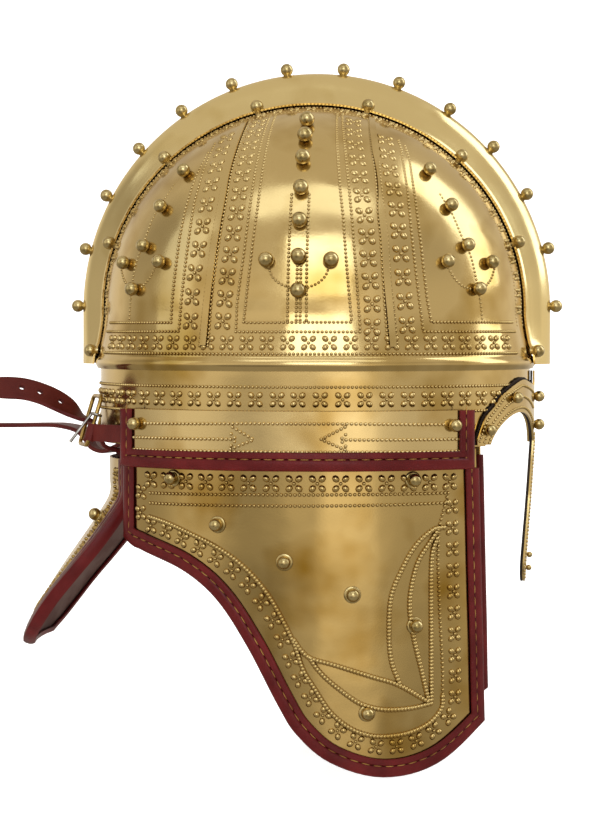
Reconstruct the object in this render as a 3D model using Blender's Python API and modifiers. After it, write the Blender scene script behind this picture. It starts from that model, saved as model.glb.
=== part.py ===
"""Roman cavalry helmet with ridge, cheek pieces, nasal and neck guard.

Metres. +X is the front, +Y the wearer's left and +Z up. The origin is the middle of the head opening, level with
the lower edge of the brow band. Pieces are laid out as on flat sheet and bent round the head: `along` is the
distance round the brow band from the middle of the front, first over the right side, and `out` is the distance
off its outer face.
"""

import math

import bmesh
import bpy
import numpy as np
from mathutils import Vector

# Sheet, leather and clearances
SHEET = 0.0010
EDGE_LEATHER = 0.0012
LINING = 0.0010
HINGE_LEATHER = 0.0015
STRAP_LEATHER = 0.0022
GAP = 0.0003
SEAT_GAP = 0.0005
FOLD_GAP = 0.0005

# Brow band
RIM_LENGTH = 0.2312
RIM_WIDTH = 0.1960
BAND_HEIGHT = 0.0390
BAND_TUCK = 0.0100

# Bowl
ROLL_HEIGHT = 0.0070
ROLL_BULGE = 0.0015
WAIST_HEIGHT = 0.0700
WAIST_INSET = 0.0024
DOME_RISE = 0.1095
PANEL_STUD_RADIUS = 0.0040

# Ridge
RIDGE_PROUD = 0.0108
RIDGE_HEIGHT = 0.0175
RIDGE_END = 0.0413
RIDGE_HALF_WIDTH = 0.0170
RIDGE_REACH = RIM_LENGTH / 2 + RIDGE_PROUD
RIDGE_RISE = DOME_RISE + RIDGE_HEIGHT
CREST_STUDS = 14
CREST_STUD_RADIUS = 0.0034
FLANGE_STUD_RADIUS = 0.0034
FLANGE_STUD_RISE = 0.03

# Brow guard and nasal
EYE_SPACING = 0.0700
EYE_ARCH_WIDTH = 0.0550
EYE_ARCH_HEIGHT = 0.0159
BROW_REACH = 0.0722
BROW_HEIGHT = 0.0334
TAB_HEIGHT = 0.0378
TAB_HALF_WIDTH = 0.0040
NASAL_DROP = 0.0745
NASAL_FOOT = 0.0140
NASAL_LEAN = 0.0045
BROW_END = 0.0008
ARCH_SQUARENESS = 1.5
FRINGE = 0.0012
BROW_STUD_RADIUS = 0.0030

# Hinge plates
PLATE_REAR = 0.1000
PLATE_FRONT = 0.0900
PLATE_TOP = 0.0190
PLATE_BOTTOM = -0.0095
PLATE_RIVET_RADIUS = 0.0034
PLATE_RIVET_INSET = 0.0115
PLATE_RIVET_DROP = 0.0075
HINGE_REAR = 0.0830
HINGE_FRONT = 0.0765
HINGE_TOP = 0.0140
HINGE_BOTTOM = -0.0105
EDGE_FLAP = 0.0080

# Cheek pieces
CHEEK_REACH = 0.1050
CHEEK_TOP = -0.0010
CHEEK_DROP = 0.1650
CHEEK_LEAN = 0.0040
KNOB_RADIUS = 0.0034

# Neck guard, whose half width is measured round its bend
NECK_TUCK = 0.0046
NECK_TOP = -0.0085
NECK_DROP = 0.0990
NECK_FLARE = 0.0450
NECK_HALF_WIDTH = 0.0590
NECK_RADIUS = 0.1650
NECK_LINING = 0.0015
NECK_ROOM = 0.0005
NECK_KNOB_RADIUS = 0.0034
SLOPE_STEP = 0.04

# Straps and buckles, laid out in an upright plane square to the brow band
STRAP_SIDE = 0.0300
STRAP_WIDTH = 0.0150
HOLE_RADIUS = 0.0016
HOLE_PITCH = 0.0112
FIRST_HOLE = 0.0190
BUCKLE_WIRE = 0.0022
BUCKLE_HEIGHT = 0.0290
BUCKLE_WIDTH = 0.0240
BUCKLE_CORNER = 0.0030
BUCKLE_LEAN = math.radians(17)
BUCKLE_OUT = 0.0072
BUCKLE_LEVEL = 0.0116
PRONG_WIRE = 0.0016
PRONG_LENGTH = 0.0190
PRONG_ROOT = 0.0035
PRONG_SPREAD = math.radians(21)
PRONG_CURL_START = 60
PRONG_CURL = 300
CHAPE_LEATHER = 0.0015
CHAPE_WIDTH = 0.0090
CHAPE_LEVEL = 0.0055
CHAPE_START = 0.0900
CHAPE_BEND = 0.1025
CHAPE_SLACK = 0.0006
CHAPE_LIFT = 0.35
EYE_WALL = 0.0014

# Facets
RIM_FACETS = 32
RIDGE_FACETS = 26
ARCH_FACETS = 10
NECK_FACETS = 10
BALL_SIDES = 6
BALL_RINGS = 3
BALL_SHARE = 0.76
EYE_COLUMNS = (1.0, 0.8, 0.6, 0.4, 0.2, 0.0)
BEND_STEP = 0.0125
LEAN_STEP = 0.0380
SHARPEST_MITRE = 0.6

BRASS = ("C9A25A", 0.22, 1.0)
DARK_BRASS = ("9A7A42", 0.35, 1.0)
RED_LEATHER = ("6A1418", 0.45, 0.0)
STRAP_RED = ("5A1A18", 0.5, 0.0)
BROWN_LEATHER = ("4A3A35", 0.7, 0.0)
DARK_LEATHER = ("2E2620", 0.75, 0.0)

# Panel studs in degrees: round from the front, up the dome
MIDDLE_STUDS = [(90, 61.4), (90, 53.1), (90, 43.7), (90, 33.3), (90, 23.6), (90, 13.8), (90, 4.9)]
MIDDLE_STUDS += [(98.3, 12.8), (81.7, 12.8)]
END_STUDS = [(43.6, 40.2), (42.2, 28.6), (40.6, 17.2), (49.0, 12.7), (31.7, 12.7), (38.8, 5.5)]

# Ridge section: share of the half width, share of the height above the flange
RIDGE_SECTION = [(-1.0, 0.0), (-0.64, 0.08), (-0.40, 0.75), (0.0, 1.0)]
RIDGE_SECTION += [(-side, height) for side, height in reversed(RIDGE_SECTION[:-1])]
FLANGE_STUD_TURNS = [-9.7, 18.6, 46.4, 75.0, 105.0, 133.6, 161.4, 189.7]

# Turns of the rearmost and foremost crest studs, in degrees
CREST_STUD_ENDS = (178.9, 1.0)

# Brow guard's upper edge: share of BROW_REACH from the middle, share of BROW_HEIGHT
BROW_EDGE = [(0.12, 0.90), (0.28, 0.955), (0.46, 1.0), (0.71, 0.81), (0.83, 0.60), (0.92, 0.44), (1.0, 0.09)]

# Nasal's edge: share of NASAL_FOOT from the middle, share of NASAL_DROP down
NASAL_EDGE = [(0.607, 0.11), (0.68, 0.40), (1.0, 0.86), (0.857, 0.97), (0.571, 1.0)]

# Brow guard's studs: distance from the middle, height
BROW_STUDS = [(0.0, 0.009), (0.0, 0.024), (0.043, 0.0245), (0.0655, 0.0085)]

# Cheek outline below its rear corner: share of CHEEK_REACH forward of the side's middle, share of CHEEK_DROP
CHEEK_REAR_CORNER = (-1.0, 0.285)
CHEEK_CURVE = [
    (-0.93, 0.305),
    (-0.84, 0.318),
    (-0.59, 0.367),
    (-0.40, 0.452),
    (-0.24, 0.594),
    (-0.09, 0.773),
    (0.0, 0.863),
    (0.16, 0.948),
    (0.41, 0.995),
    (0.68, 0.965),
]
CHEEK_FRONT_CORNER = (0.972, 0.850)
CHEEK_FRONT_TOP = (0.925, 0.0)

# Cheek knobs, in the same shares
CHEEK_KNOBS = [(-0.40, 0.228), (-0.065, 0.338), (0.26, 0.437), (0.57, 0.537), (0.33, 0.802)]
CHEEK_RIVETS = [(-0.65, 0.090), (0.56, 0.090)]

# Neck guard's profile: share of NECK_DROP down, share of NECK_FLARE out, of the half width and of NECK_RADIUS
NECK_SECTIONS = [
    (0.0, 0.0, 0.91, 0.50),
    (0.11, 0.0, 0.91, 0.50),
    (0.20, 0.0, 0.91, 0.51),
    (0.30, 0.12, 0.92, 0.55),
    (0.44, 0.33, 0.98, 0.64),
    (0.58, 0.545, 1.0, 0.76),
    (0.72, 0.74, 0.95, 0.88),
    (0.84, 0.875, 0.86, 0.97),
    (0.94, 0.955, 0.68, 1.0),
    (1.0, 0.98, 0.45, 1.0),
]
NECK_KNOBS = [(-0.50, 0.32), (0.50, 0.32)]

# Straps from the neck guard's collar to their tips: distance off the brow band, height, share of a quarter turn
# of twist. The right one runs through its buckle, and the left one hangs loose below its own.
RIGHT_TAIL = [
    (-0.0104, -0.0230, 0.0),
    (-0.0104, -0.0150, 0.0),
    (-0.0101, -0.0088, 0.0),
    (-0.0078, -0.0048, 0.0),
    (-0.0034, -0.0036, 0.0),
    (0.0012, -0.0016, 0.0),
    (0.0042, 0.0052, 0.0),
    (0.0080, 0.0116, 0.0),
    (0.0120, 0.0135, 0.15),
    (0.0182, 0.0181, 0.4),
    (0.0255, 0.0223, 0.5),
    (0.0345, 0.0262, 0.5),
    (0.0440, 0.0286, 0.5),
    (0.0554, 0.0292, 0.5),
    (0.0600, 0.0292, 0.5),
    (0.0640, 0.0291, 0.5),
]
LEFT_TAIL = [
    (-0.0104, -0.0230, 0.0),
    (-0.0104, -0.0150, 0.0),
    (-0.0101, -0.0088, 0.0),
    (-0.0078, -0.0048, 0.0),
    (-0.0034, -0.0036, 0.0),
    (0.0024, -0.0058, 0.0),
    (0.0090, -0.0082, 0.0),
    (0.0165, -0.0062, 0.0),
    (0.0212, -0.0010, 0.0),
    (0.0270, 0.0034, 0.0),
    (0.0388, 0.0056, 0.0),
    (0.0500, 0.0057, 0.0),
    (0.0640, 0.0053, 0.0),
    (0.0780, 0.0050, 0.0),
    (0.0855, 0.0049, 0.0),
    (0.0900, 0.0048, 0.0),
]
TIP_WIDTHS = (1.0, 0.8, 0.35)


for old in list(bpy.data.objects):
    bpy.data.objects.remove(old, do_unlink=True)


def collection(name):
    made = bpy.data.collections.new(name)
    bpy.context.scene.collection.children.link(made)
    return made


HELMET = collection("roman_cavalry_helmet")
HELPERS = collection("helpers")
MATERIALS = {}


def finish(colour, roughness, metallic):
    """Principled material of an sRGB hex colour."""
    if colour not in MATERIALS:
        material = bpy.data.materials.new("finish_" + colour)
        material.use_nodes = True
        shader = material.node_tree.nodes["Principled BSDF"]
        levels = [int(colour[i : i + 2], 16) / 255 for i in (0, 2, 4)]
        linear = [v / 12.92 if v <= 0.04045 else ((v + 0.055) / 1.055) ** 2.4 for v in levels]
        shader.inputs["Base Color"].default_value = (*linear, 1)
        shader.inputs["Roughness"].default_value = roughness
        shader.inputs["Metallic"].default_value = metallic
        MATERIALS[colour] = material
    return MATERIALS[colour]


def add_object(name, data, look):
    piece = bpy.data.objects.new(name, data)
    HELMET.objects.link(piece)
    data.materials.append(finish(*look))
    return piece


def mesh_object(name, shape, look):
    """Object of a bmesh, which is freed."""
    mesh = bpy.data.meshes.new(name)
    shape.to_mesh(mesh)
    shape.free()
    return add_object(name, mesh, look)


def thicken(piece, thickness, offset=-1):
    wall = piece.modifiers.new("wall", "SOLIDIFY")
    wall.thickness = thickness
    wall.offset = offset
    return piece


def sheet_grid(columns, rows, place, cap_ends=False):
    """Grid whose point (u, v), each 0 to 1, is moved to place(u, v); edges that meet are joined."""
    shape = bmesh.new()
    bmesh.ops.create_grid(shape, x_segments=columns, y_segments=rows, size=0.5)
    for vertex in shape.verts:
        vertex.co = place(vertex.co.x + 0.5, vertex.co.y + 0.5)
    bmesh.ops.remove_doubles(shape, verts=shape.verts, dist=1e-6)
    if cap_ends:
        bmesh.ops.holes_fill(shape, edges=[edge for edge in shape.edges if edge.is_boundary])
        bmesh.ops.recalc_face_normals(shape, faces=shape.faces)
    return shape


def pick(table, share):
    """Row of a table at a share, 0 to 1, of its length."""
    return table[round(share * (len(table) - 1))]


def smooth_line(points, pieces):
    """Points of a smooth curve through the given ones, with that many pieces to each span."""
    points = [Vector(p) for p in points]
    before = [2 * points[0] - points[1], *points, 2 * points[-1] - points[-2]]
    line = [points[0]]
    for a, b, c, d in zip(before, before[1:], before[2:], before[3:]):
        for i in range(1, pieces + 1):
            t = i / pieces
            curve = 2 * b + (c - a) * t + (2 * a - 5 * b + 4 * c - d) * t * t + (3 * b - a - 3 * c + d) * t**3
            line.append(curve / 2)
    return line


# Round the head

ANGLES = np.linspace(0, 2 * math.pi, 1441)
STEPS = np.hypot(np.diff(RIM_LENGTH / 2 * np.cos(ANGLES)), np.diff(RIM_WIDTH / 2 * np.sin(ANGLES)))
LENGTHS = np.concatenate([[0], np.cumsum(STEPS)])
ROUND = float(LENGTHS[-1])
SIDE = ROUND / 4


def head_point(along, height, out=0.0):
    angle = float(np.interp(along % ROUND, LENGTHS, ANGLES))
    normal = Vector((RIM_WIDTH * math.cos(angle), -RIM_LENGTH * math.sin(angle))).normalized()
    x = RIM_LENGTH / 2 * math.cos(angle) + out * normal.x
    y = -RIM_WIDTH / 2 * math.sin(angle) + out * normal.y
    return Vector((x, y, height))


def side_point(forward, height, out=0.0):
    """Point by its distance forward of the middle of the right side."""
    return head_point(SIDE - forward, height, out)


def cheek_point(forward, height, out=0.0):
    """As side_point, on the cheek pieces, which lean in towards the jaw."""
    point = side_point(forward, height, out)
    point.y += CHEEK_LEAN * ((CHEEK_TOP - height) / CHEEK_DROP) ** 2
    return point


def guard_point(left, height, out=0.0):
    """Point by its distance left of the middle of the front, on the brow guard, whose nasal leans in."""
    point = head_point(-left, height, out)
    point.x -= NASAL_LEAN * max(0.0, -height) / NASAL_DROP
    return point


def neck_profile(down):
    """Flare, half width round the bend and radius of the neck guard, at its share of the drop."""
    downs, *shares = zip(*NECK_SECTIONS)
    sizes = (NECK_FLARE, NECK_HALF_WIDTH, NECK_RADIUS)
    return [float(np.interp(down, downs, share)) * size for share, size in zip(shares, sizes)]


def neck_point(right, height, out=0.0):
    """Point by its distance round the bend, to the right of the middle, and its height below the guard's top."""
    down = -height / NECK_DROP
    flare, _, radius = neck_profile(down)
    above, below = max(down - SLOPE_STEP, 0), min(down + SLOPE_STEP, 1)
    slope = math.atan2(neck_profile(below)[0] - neck_profile(above)[0], (below - above) * NECK_DROP)
    turn = right / radius
    reach = radius + out * math.cos(slope)
    middle = radius + NECK_TUCK - RIM_LENGTH / 2 - flare
    level = NECK_TOP + height + out * math.sin(slope)
    return Vector((middle - reach * math.cos(turn), -reach * math.sin(turn), level))


def strap_point(out, height, forward=0.0):
    """Point of the right strap's own plane, which stands square to the brow band; forward is across it."""
    sine = STRAP_SIDE / (RIM_WIDTH / 2)
    cosine = math.sqrt(1 - sine**2)
    normal = Vector((-RIM_WIDTH * cosine, -RIM_LENGTH * sine, 0)).normalized()
    seat = Vector((-RIM_LENGTH / 2 * cosine, -STRAP_SIDE, height))
    return seat + normal * out + Vector((-normal.y, normal.x, 0)) * forward


# Bowl and ridge


def bowl_axes(height):
    """Half length and half width of the bowl's outer face."""
    share = min(max((WAIST_HEIGHT - height) / (WAIST_HEIGHT - BAND_HEIGHT), 0), 1)
    spread = (WAIST_INSET + SEAT_GAP + SHEET) * share * share * (3 - 2 * share) - WAIST_INSET
    return RIM_LENGTH / 2 + spread, RIM_WIDTH / 2 + spread


def roll_bulge(height):
    share = (height - BAND_HEIGHT) / ROLL_HEIGHT
    return ROLL_BULGE * math.sin(math.pi * share) if 0 < share < 1 else 0.0


WAIST_X, WAIST_Y = bowl_axes(WAIST_HEIGHT)
BOWL_LEVELS = [BAND_HEIGHT + ROLL_HEIGHT * share for share in (0, 0.3, 0.7, 1)] + [WAIST_HEIGHT]
DOME_TURNS = [math.radians(turn) for turn in (14, 29, 44, 59, 75, 90)]


def bowl_point(turn, height, lift=0.0):
    """Point of the right half's outer face; turn is 0 at the front, and lift is the angle up the dome."""
    x, y = (axis + roll_bulge(height) for axis in bowl_axes(height))
    x *= math.cos(turn) * math.cos(lift)
    y = GAP / 2 + (y - GAP / 2) * math.sin(turn) * math.cos(lift)
    return Vector((x, -y, height + DOME_RISE * math.sin(lift)))


def make_bowl():
    rows = [(height, 0.0) for height in BOWL_LEVELS] + [(WAIST_HEIGHT, lift) for lift in DOME_TURNS]

    def place(u, v):
        return bowl_point(math.pi * (1 - u), *pick(rows, v))

    half = mesh_object("bowl_right", sheet_grid(RIM_FACETS // 2, len(rows) - 1, place), BRASS)
    thicken(half, SHEET)
    seats = []
    for turn, lift in [*MIDDLE_STUDS, *END_STUDS, *((180 - turn, lift) for turn, lift in END_STUDS)]:
        turn, lift = math.radians(turn), math.radians(lift)
        flat = Vector((math.cos(turn) * math.cos(lift) / WAIST_X, -math.sin(turn) * math.cos(lift) / WAIST_Y))
        seats.append((bowl_point(turn, WAIST_HEIGHT, lift), Vector((*flat, math.sin(lift) / DOME_RISE)).normalized()))
    solder(half, seats, PANEL_STUD_RADIUS)
    left_twin(half)


def crest_line(turn, across=0.0):
    """Point of the bowl's outer face that far left of the middle; below the waist, turn runs on down the wall."""
    below = max(0.0, -turn, turn - math.pi) * RIDGE_RISE
    if below:
        x, y = bowl_axes(WAIST_HEIGHT - below)
        x = math.copysign(x, math.cos(turn)) * math.sqrt(1 - (across / y) ** 2)
        return Vector((x, across, WAIST_HEIGHT - below))
    level = math.sqrt(1 - (across / WAIST_Y) ** 2)
    return Vector((WAIST_X * math.cos(turn) * level, across, WAIST_HEIGHT + DOME_RISE * math.sin(turn) * level))


def ridge_top(turn):
    """Point of the ridge's top line."""
    below = max(0.0, -turn, turn - math.pi) * RIDGE_RISE
    if below:
        return Vector((math.copysign(RIDGE_REACH, math.cos(turn)), 0, WAIST_HEIGHT - below))
    return Vector((RIDGE_REACH * math.cos(turn), 0, WAIST_HEIGHT + RIDGE_RISE * math.sin(turn)))


def ridge_point(turn, across, rise):
    """Point of the ridge's outer face; rise is the share of its height above the flange."""
    base = crest_line(turn, across)
    ray = ridge_top(turn) - crest_line(turn)
    over_roll = 1 - min(max((base.z - BAND_HEIGHT - ROLL_HEIGHT) / ROLL_HEIGHT, 0), 1)
    flange = SHEET + SEAT_GAP + ROLL_BULGE * over_roll
    return base + ray.normalized() * (flange + (ray.length - flange) * rise)


RIDGE_OVERRUN = (WAIST_HEIGHT - RIDGE_END) / RIDGE_RISE


def make_ridge():
    def place(u, v):
        turn = math.pi + RIDGE_OVERRUN - u * (math.pi + 2 * RIDGE_OVERRUN)
        across, rise = pick(RIDGE_SECTION, v)
        return ridge_point(turn, across * RIDGE_HALF_WIDTH, rise)

    ridge = mesh_object("ridge", sheet_grid(RIDGE_FACETS, len(RIDGE_SECTION) - 1, place), BRASS)
    thicken(ridge, SHEET)
    seats = []
    for degrees in FLANGE_STUD_TURNS:
        turn = math.radians(degrees)
        for side in (-1, 1):
            seat = ridge_point(turn, side * (RIDGE_HALF_WIDTH - FLANGE_STUD_RADIUS), FLANGE_STUD_RISE)
            seats.append((seat, (ridge_top(turn) - crest_line(turn)).normalized()))
    solder(ridge, seats, FLANGE_STUD_RADIUS)


def make_crest_studs():
    for number, degrees in enumerate(np.linspace(*CREST_STUD_ENDS, CREST_STUDS)):
        turn = math.radians(degrees)
        ray = (ridge_top(turn) - crest_line(turn)).normalized()
        seat = ridge_top(turn) + ray * GAP
        shape = bmesh.new()
        add_ball(shape, seat, ray, CREST_STUD_RADIUS)
        below = bmesh.ops.bisect_plane(
            shape, geom=shape.verts[:] + shape.edges[:] + shape.faces[:], plane_co=seat, plane_no=-ray, clear_outer=True
        )
        bmesh.ops.holes_fill(shape, edges=[edge for edge in below["geom_cut"] if isinstance(edge, bmesh.types.BMEdge)])
        mesh_object(f"crest_stud_{number + 1:02d}", shape, BRASS)


# Studs


def add_ball(shape, seat, normal, radius):
    """Ball whose middle is BALL_SHARE of its radius off its seat."""
    ball = bmesh.ops.create_uvsphere(shape, u_segments=BALL_SIDES, v_segments=BALL_RINGS, radius=radius)
    turn = Vector((0, 0, 1)).rotation_difference(normal)
    for vertex in ball["verts"]:
        vertex.co = turn @ vertex.co + seat + normal * radius * BALL_SHARE


def solder(piece, seats, radius):
    """Joins balls to a piece's outer face at the points nearest to (seat, normal) pairs."""
    bpy.context.view_layer.update()
    sheet = piece.evaluated_get(bpy.context.evaluated_depsgraph_get())
    shape = bmesh.new()
    for seat, normal in seats:
        add_ball(shape, sheet.closest_point_on_mesh(seat)[1], normal, radius)
    mesh = bpy.data.meshes.new(piece.name + "_balls")
    shape.to_mesh(mesh)
    shape.free()
    join(piece, mesh)


def join(piece, mesh, operation="UNION"):
    helper = bpy.data.objects.new(mesh.name, mesh)
    helper.hide_render = True
    helper.display_type = "WIRE"
    HELPERS.objects.link(helper)
    boolean = piece.modifiers.new(mesh.name, "BOOLEAN")
    boolean.operation = operation
    boolean.object = helper


def left_twin(piece):
    """The same piece mirrored to the left side, under its own name."""
    bpy.context.view_layer.update()
    evaluated = piece.evaluated_get(bpy.context.evaluated_depsgraph_get())
    mesh = bpy.data.meshes.new_from_object(evaluated)
    twin = bpy.data.objects.new(piece.name.replace("right", "left"), mesh)
    twin.scale.y = -1
    HELMET.objects.link(twin)
    return twin


def seat_on(place, first, second):
    """Seat and outward normal on a bent sheet."""
    step = 1e-4
    seat = place(first, second)
    normal = (place(first + step, second) - seat).cross(place(first, second + step) - seat)
    return seat, normal.normalized()


# Bent plates and leather edgings


def bent_plate(outline, place, out, thickness, name, look, bend_lines=()):
    """Plate cut to a flat outline and bent by place(first, second, out), whose outer face is that far out."""
    shape = bmesh.new()
    corners = [shape.verts.new((first, second, 0)) for first, second in outline]
    rim = [shape.edges.new(pair) for pair in zip(corners, corners[1:] + corners[:1])]
    bmesh.ops.contextual_create(shape, geom=rim)
    lowest = min(first for first, _ in outline)
    highest = max(first for first, _ in outline)
    bends = math.ceil((highest - lowest) / BEND_STEP)
    cuts = [(Vector((lowest + (highest - lowest) * i / bends, 0, 0)), Vector((1, 0, 0))) for i in range(1, bends)]
    cuts += [(Vector((0, level, 0)), Vector((0, 1, 0))) for level in bend_lines]
    for point, normal in cuts:
        geometry = shape.verts[:] + shape.edges[:] + shape.faces[:]
        bmesh.ops.bisect_plane(shape, geom=geometry, dist=1e-6, plane_co=point, plane_no=normal)
    bmesh.ops.triangulate(shape, faces=shape.faces)
    back = bmesh.ops.extrude_face_region(shape, geom=shape.faces[:], use_keep_orig=True)["geom"]
    inner = {element for element in back if isinstance(element, bmesh.types.BMVert)}
    for vertex in shape.verts:
        vertex.co = place(vertex.co.x, vertex.co.y, out - thickness if vertex in inner else out)
    bmesh.ops.recalc_face_normals(shape, faces=shape.faces)
    return mesh_object(name, shape, look)


def refine(path):
    """Path with points added, so that its straight runs follow the bend round the head and the lean."""
    fine = [Vector(path[0])]
    for start, end in zip(path, path[1:]):
        start, end = Vector(start), Vector(end)
        run = end - start
        pieces = max(1, math.ceil(abs(run.x) / BEND_STEP), math.ceil(abs(run.y) / LEAN_STEP))
        fine += [start.lerp(end, i / pieces) for i in range(1, pieces + 1)]
    return fine


def inward_steps(path):
    """Inward mitre at each point of a path that has the sheet on its left."""
    steps = []
    for i, point in enumerate(path):
        sides = []
        if i > 0:
            sides.append((point - path[i - 1]).normalized())
        if i < len(path) - 1:
            sides.append((path[i + 1] - point).normalized())
        normals = [Vector((-side.y, side.x)) for side in sides]
        middle = sum(normals, Vector((0, 0))).normalized()
        steps.append(middle / max(middle.dot(normals[0]), SHARPEST_MITRE))
    return steps


def edging_section(base, metal):
    """Folded strip round an edge: steps inwards and off the base, for metal whose outer face is at base."""
    top = base + FOLD_GAP
    bottom = base - metal - FOLD_GAP
    return [
        (EDGE_FLAP, top),
        (EDGE_FLAP, top + EDGE_LEATHER),
        (-GAP - EDGE_LEATHER, top + EDGE_LEATHER),
        (-GAP - EDGE_LEATHER, bottom - EDGE_LEATHER),
        (EDGE_FLAP, bottom - EDGE_LEATHER),
        (EDGE_FLAP, bottom),
        (-GAP, bottom),
        (-GAP, top),
        (EDGE_FLAP, top),
    ]


def edging(name, path, place, section, look):
    """Leather folded over the edge that runs along path."""
    inward = inward_steps(path)

    def at(u, v):
        index = round(u * (len(path) - 1))
        depth, out = pick(section, v)
        flat = path[index] + inward[index] * depth
        return place(flat.x, flat.y, out)

    return mesh_object(name, sheet_grid(len(path) - 1, len(section) - 1, at, cap_ends=True), look)


PLATE_OUT = GAP + HINGE_LEATHER + SEAT_GAP + EDGE_LEATHER + FOLD_GAP + SHEET


def make_hinge_plate():
    def place(forward, height):
        return side_point(forward, height, PLATE_OUT)

    outline = [
        (-PLATE_REAR, PLATE_TOP),
        (-PLATE_REAR, PLATE_BOTTOM),
        (PLATE_FRONT, PLATE_BOTTOM),
        (PLATE_FRONT, PLATE_TOP),
    ]
    plate = bent_plate(outline, side_point, PLATE_OUT, SHEET, "hinge_plate_right", BRASS)
    level = PLATE_TOP - PLATE_RIVET_DROP
    rivets = [(-PLATE_REAR + PLATE_RIVET_INSET, level), (PLATE_FRONT - PLATE_RIVET_INSET, level)]
    solder(plate, [seat_on(place, *rivet) for rivet in rivets], PLATE_RIVET_RADIUS)
    left_twin(plate)
    section = edging_section(PLATE_OUT, SHEET)
    left_twin(edging("plate_edging_right", refine(outline), side_point, section, RED_LEATHER))


def make_cheek_hinge():
    outline = [
        (-HINGE_REAR, HINGE_TOP),
        (-HINGE_REAR, HINGE_BOTTOM),
        (HINGE_FRONT, HINGE_BOTTOM),
        (HINGE_FRONT, HINGE_TOP),
    ]
    out = GAP + HINGE_LEATHER
    left_twin(bent_plate(outline, side_point, out, HINGE_LEATHER, "cheek_hinge_right", BROWN_LEATHER))


def make_cheek():
    curve = smooth_line([CHEEK_REAR_CORNER, *CHEEK_CURVE, CHEEK_FRONT_CORNER], 2)
    shares = [Vector((CHEEK_REAR_CORNER[0], 0.0)), *curve, Vector(CHEEK_FRONT_TOP)]
    outline = [Vector((share.x * CHEEK_REACH, CHEEK_TOP - share.y * CHEEK_DROP)) for share in shares]
    bends = [CHEEK_TOP - CHEEK_DROP * share for share in (0.14, 0.36, 0.58, 0.8)]
    cheek = bent_plate(outline, cheek_point, 0.0, SHEET, "cheek_right", BRASS, bends)
    seats = []
    for forward, down in CHEEK_KNOBS + CHEEK_RIVETS:
        seats.append(seat_on(cheek_point, forward * CHEEK_REACH, CHEEK_TOP - down * CHEEK_DROP))
    solder(cheek, seats, KNOB_RADIUS)
    left_twin(cheek)
    edging_top = HINGE_BOTTOM - GAP
    outline[0].y = edging_top
    outline[-1] = outline[-1].lerp(outline[-2], (CHEEK_TOP - edging_top) / (outline[-1].y - outline[-2].y))
    section = edging_section(0.0, SHEET)
    left_twin(edging("cheek_edging_right", refine(outline), cheek_point, section, RED_LEATHER))


# Brow guard


def eye_rise(turn):
    """Distance left of the middle and height of an eye arch's edge, by its turn from 1, inner, to 0, outer."""
    angle = math.pi * turn
    rise = EYE_ARCH_HEIGHT * math.sin(angle) ** ARCH_SQUARENESS
    return EYE_SPACING / 2 + EYE_ARCH_WIDTH / 2 * math.cos(angle), BROW_END + rise


def eye_arch(spread):
    """Half of the guard's outline on the left, from the middle of the top down to the nasal's foot."""
    top = [(0.0, TAB_HEIGHT), (TAB_HALF_WIDTH, TAB_HEIGHT), (TAB_HALF_WIDTH, BROW_EDGE[0][1] * BROW_HEIGHT)]
    curve = smooth_line(BROW_EDGE, 2)
    edge = [(p.x * BROW_REACH, p.y * BROW_HEIGHT + spread) for p in curve]
    arch = [eye_rise(i / ARCH_FACETS) for i in range(ARCH_FACETS)]
    foot = [(NASAL_FOOT * width, -NASAL_DROP * down) for width, down in NASAL_EDGE]
    return [*top, *edge, (BROW_REACH, BROW_END), *arch, *foot]


def make_brow_guard():
    bends = [0.0, -0.5 * NASAL_DROP]
    for name, spread, out, thickness, look in (
        ("brow_guard_lining", FRINGE, GAP + LINING, LINING, DARK_LEATHER),
        ("brow_guard", 0.0, GAP + LINING + GAP + SHEET, SHEET, BRASS),
    ):
        half = eye_arch(spread)
        outline = half[1:] + [(-left, height) for left, height in reversed(half[1:])]
        piece = bent_plate(outline, guard_point, out, thickness, name, look, bends)

    def place(left, height):
        return guard_point(left, height, out)

    seats = []
    for left, height in BROW_STUDS:
        for side in (-1, 1) if left else (1,):
            seats.append(seat_on(place, side * left, height))
    solder(piece, seats, BROW_STUD_RADIUS)


def make_brow_band():
    levels = [0.0, BAND_HEIGHT, BAND_HEIGHT + BAND_TUCK]
    eye = [eye_rise(share)[0] for share in EYE_COLUMNS]
    angles = [float(np.interp(left, LENGTHS, ANGLES)) for left in eye]
    step = 2 * math.pi / RIM_FACETS
    rear = [step * i for i in range(math.ceil(angles[-1] / step + 0.3), RIM_FACETS // 2 + 1)]
    half = [0.0, *angles, *rear]
    turns = [-angle for angle in reversed(half)] + half[1:]

    def place(u, v):
        height = pick(levels, v)
        tuck = 0.0
        if height > BAND_HEIGHT:
            tuck = RIM_LENGTH / 2 - (bowl_axes(height)[0] - SHEET - SEAT_GAP)
        angle = pick(turns, u)
        x = (RIM_LENGTH / 2 - tuck) * math.cos(angle)
        y = (RIM_WIDTH / 2 - tuck) * math.sin(angle)
        if height == 0 and abs(angle) in angles:
            height = eye_rise(EYE_COLUMNS[angles.index(abs(angle))])[1]
        return Vector((x, y, height))

    thicken(mesh_object("brow_band", sheet_grid(len(turns) - 1, len(levels) - 1, place), BRASS), SHEET)


# Neck guard


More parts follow.
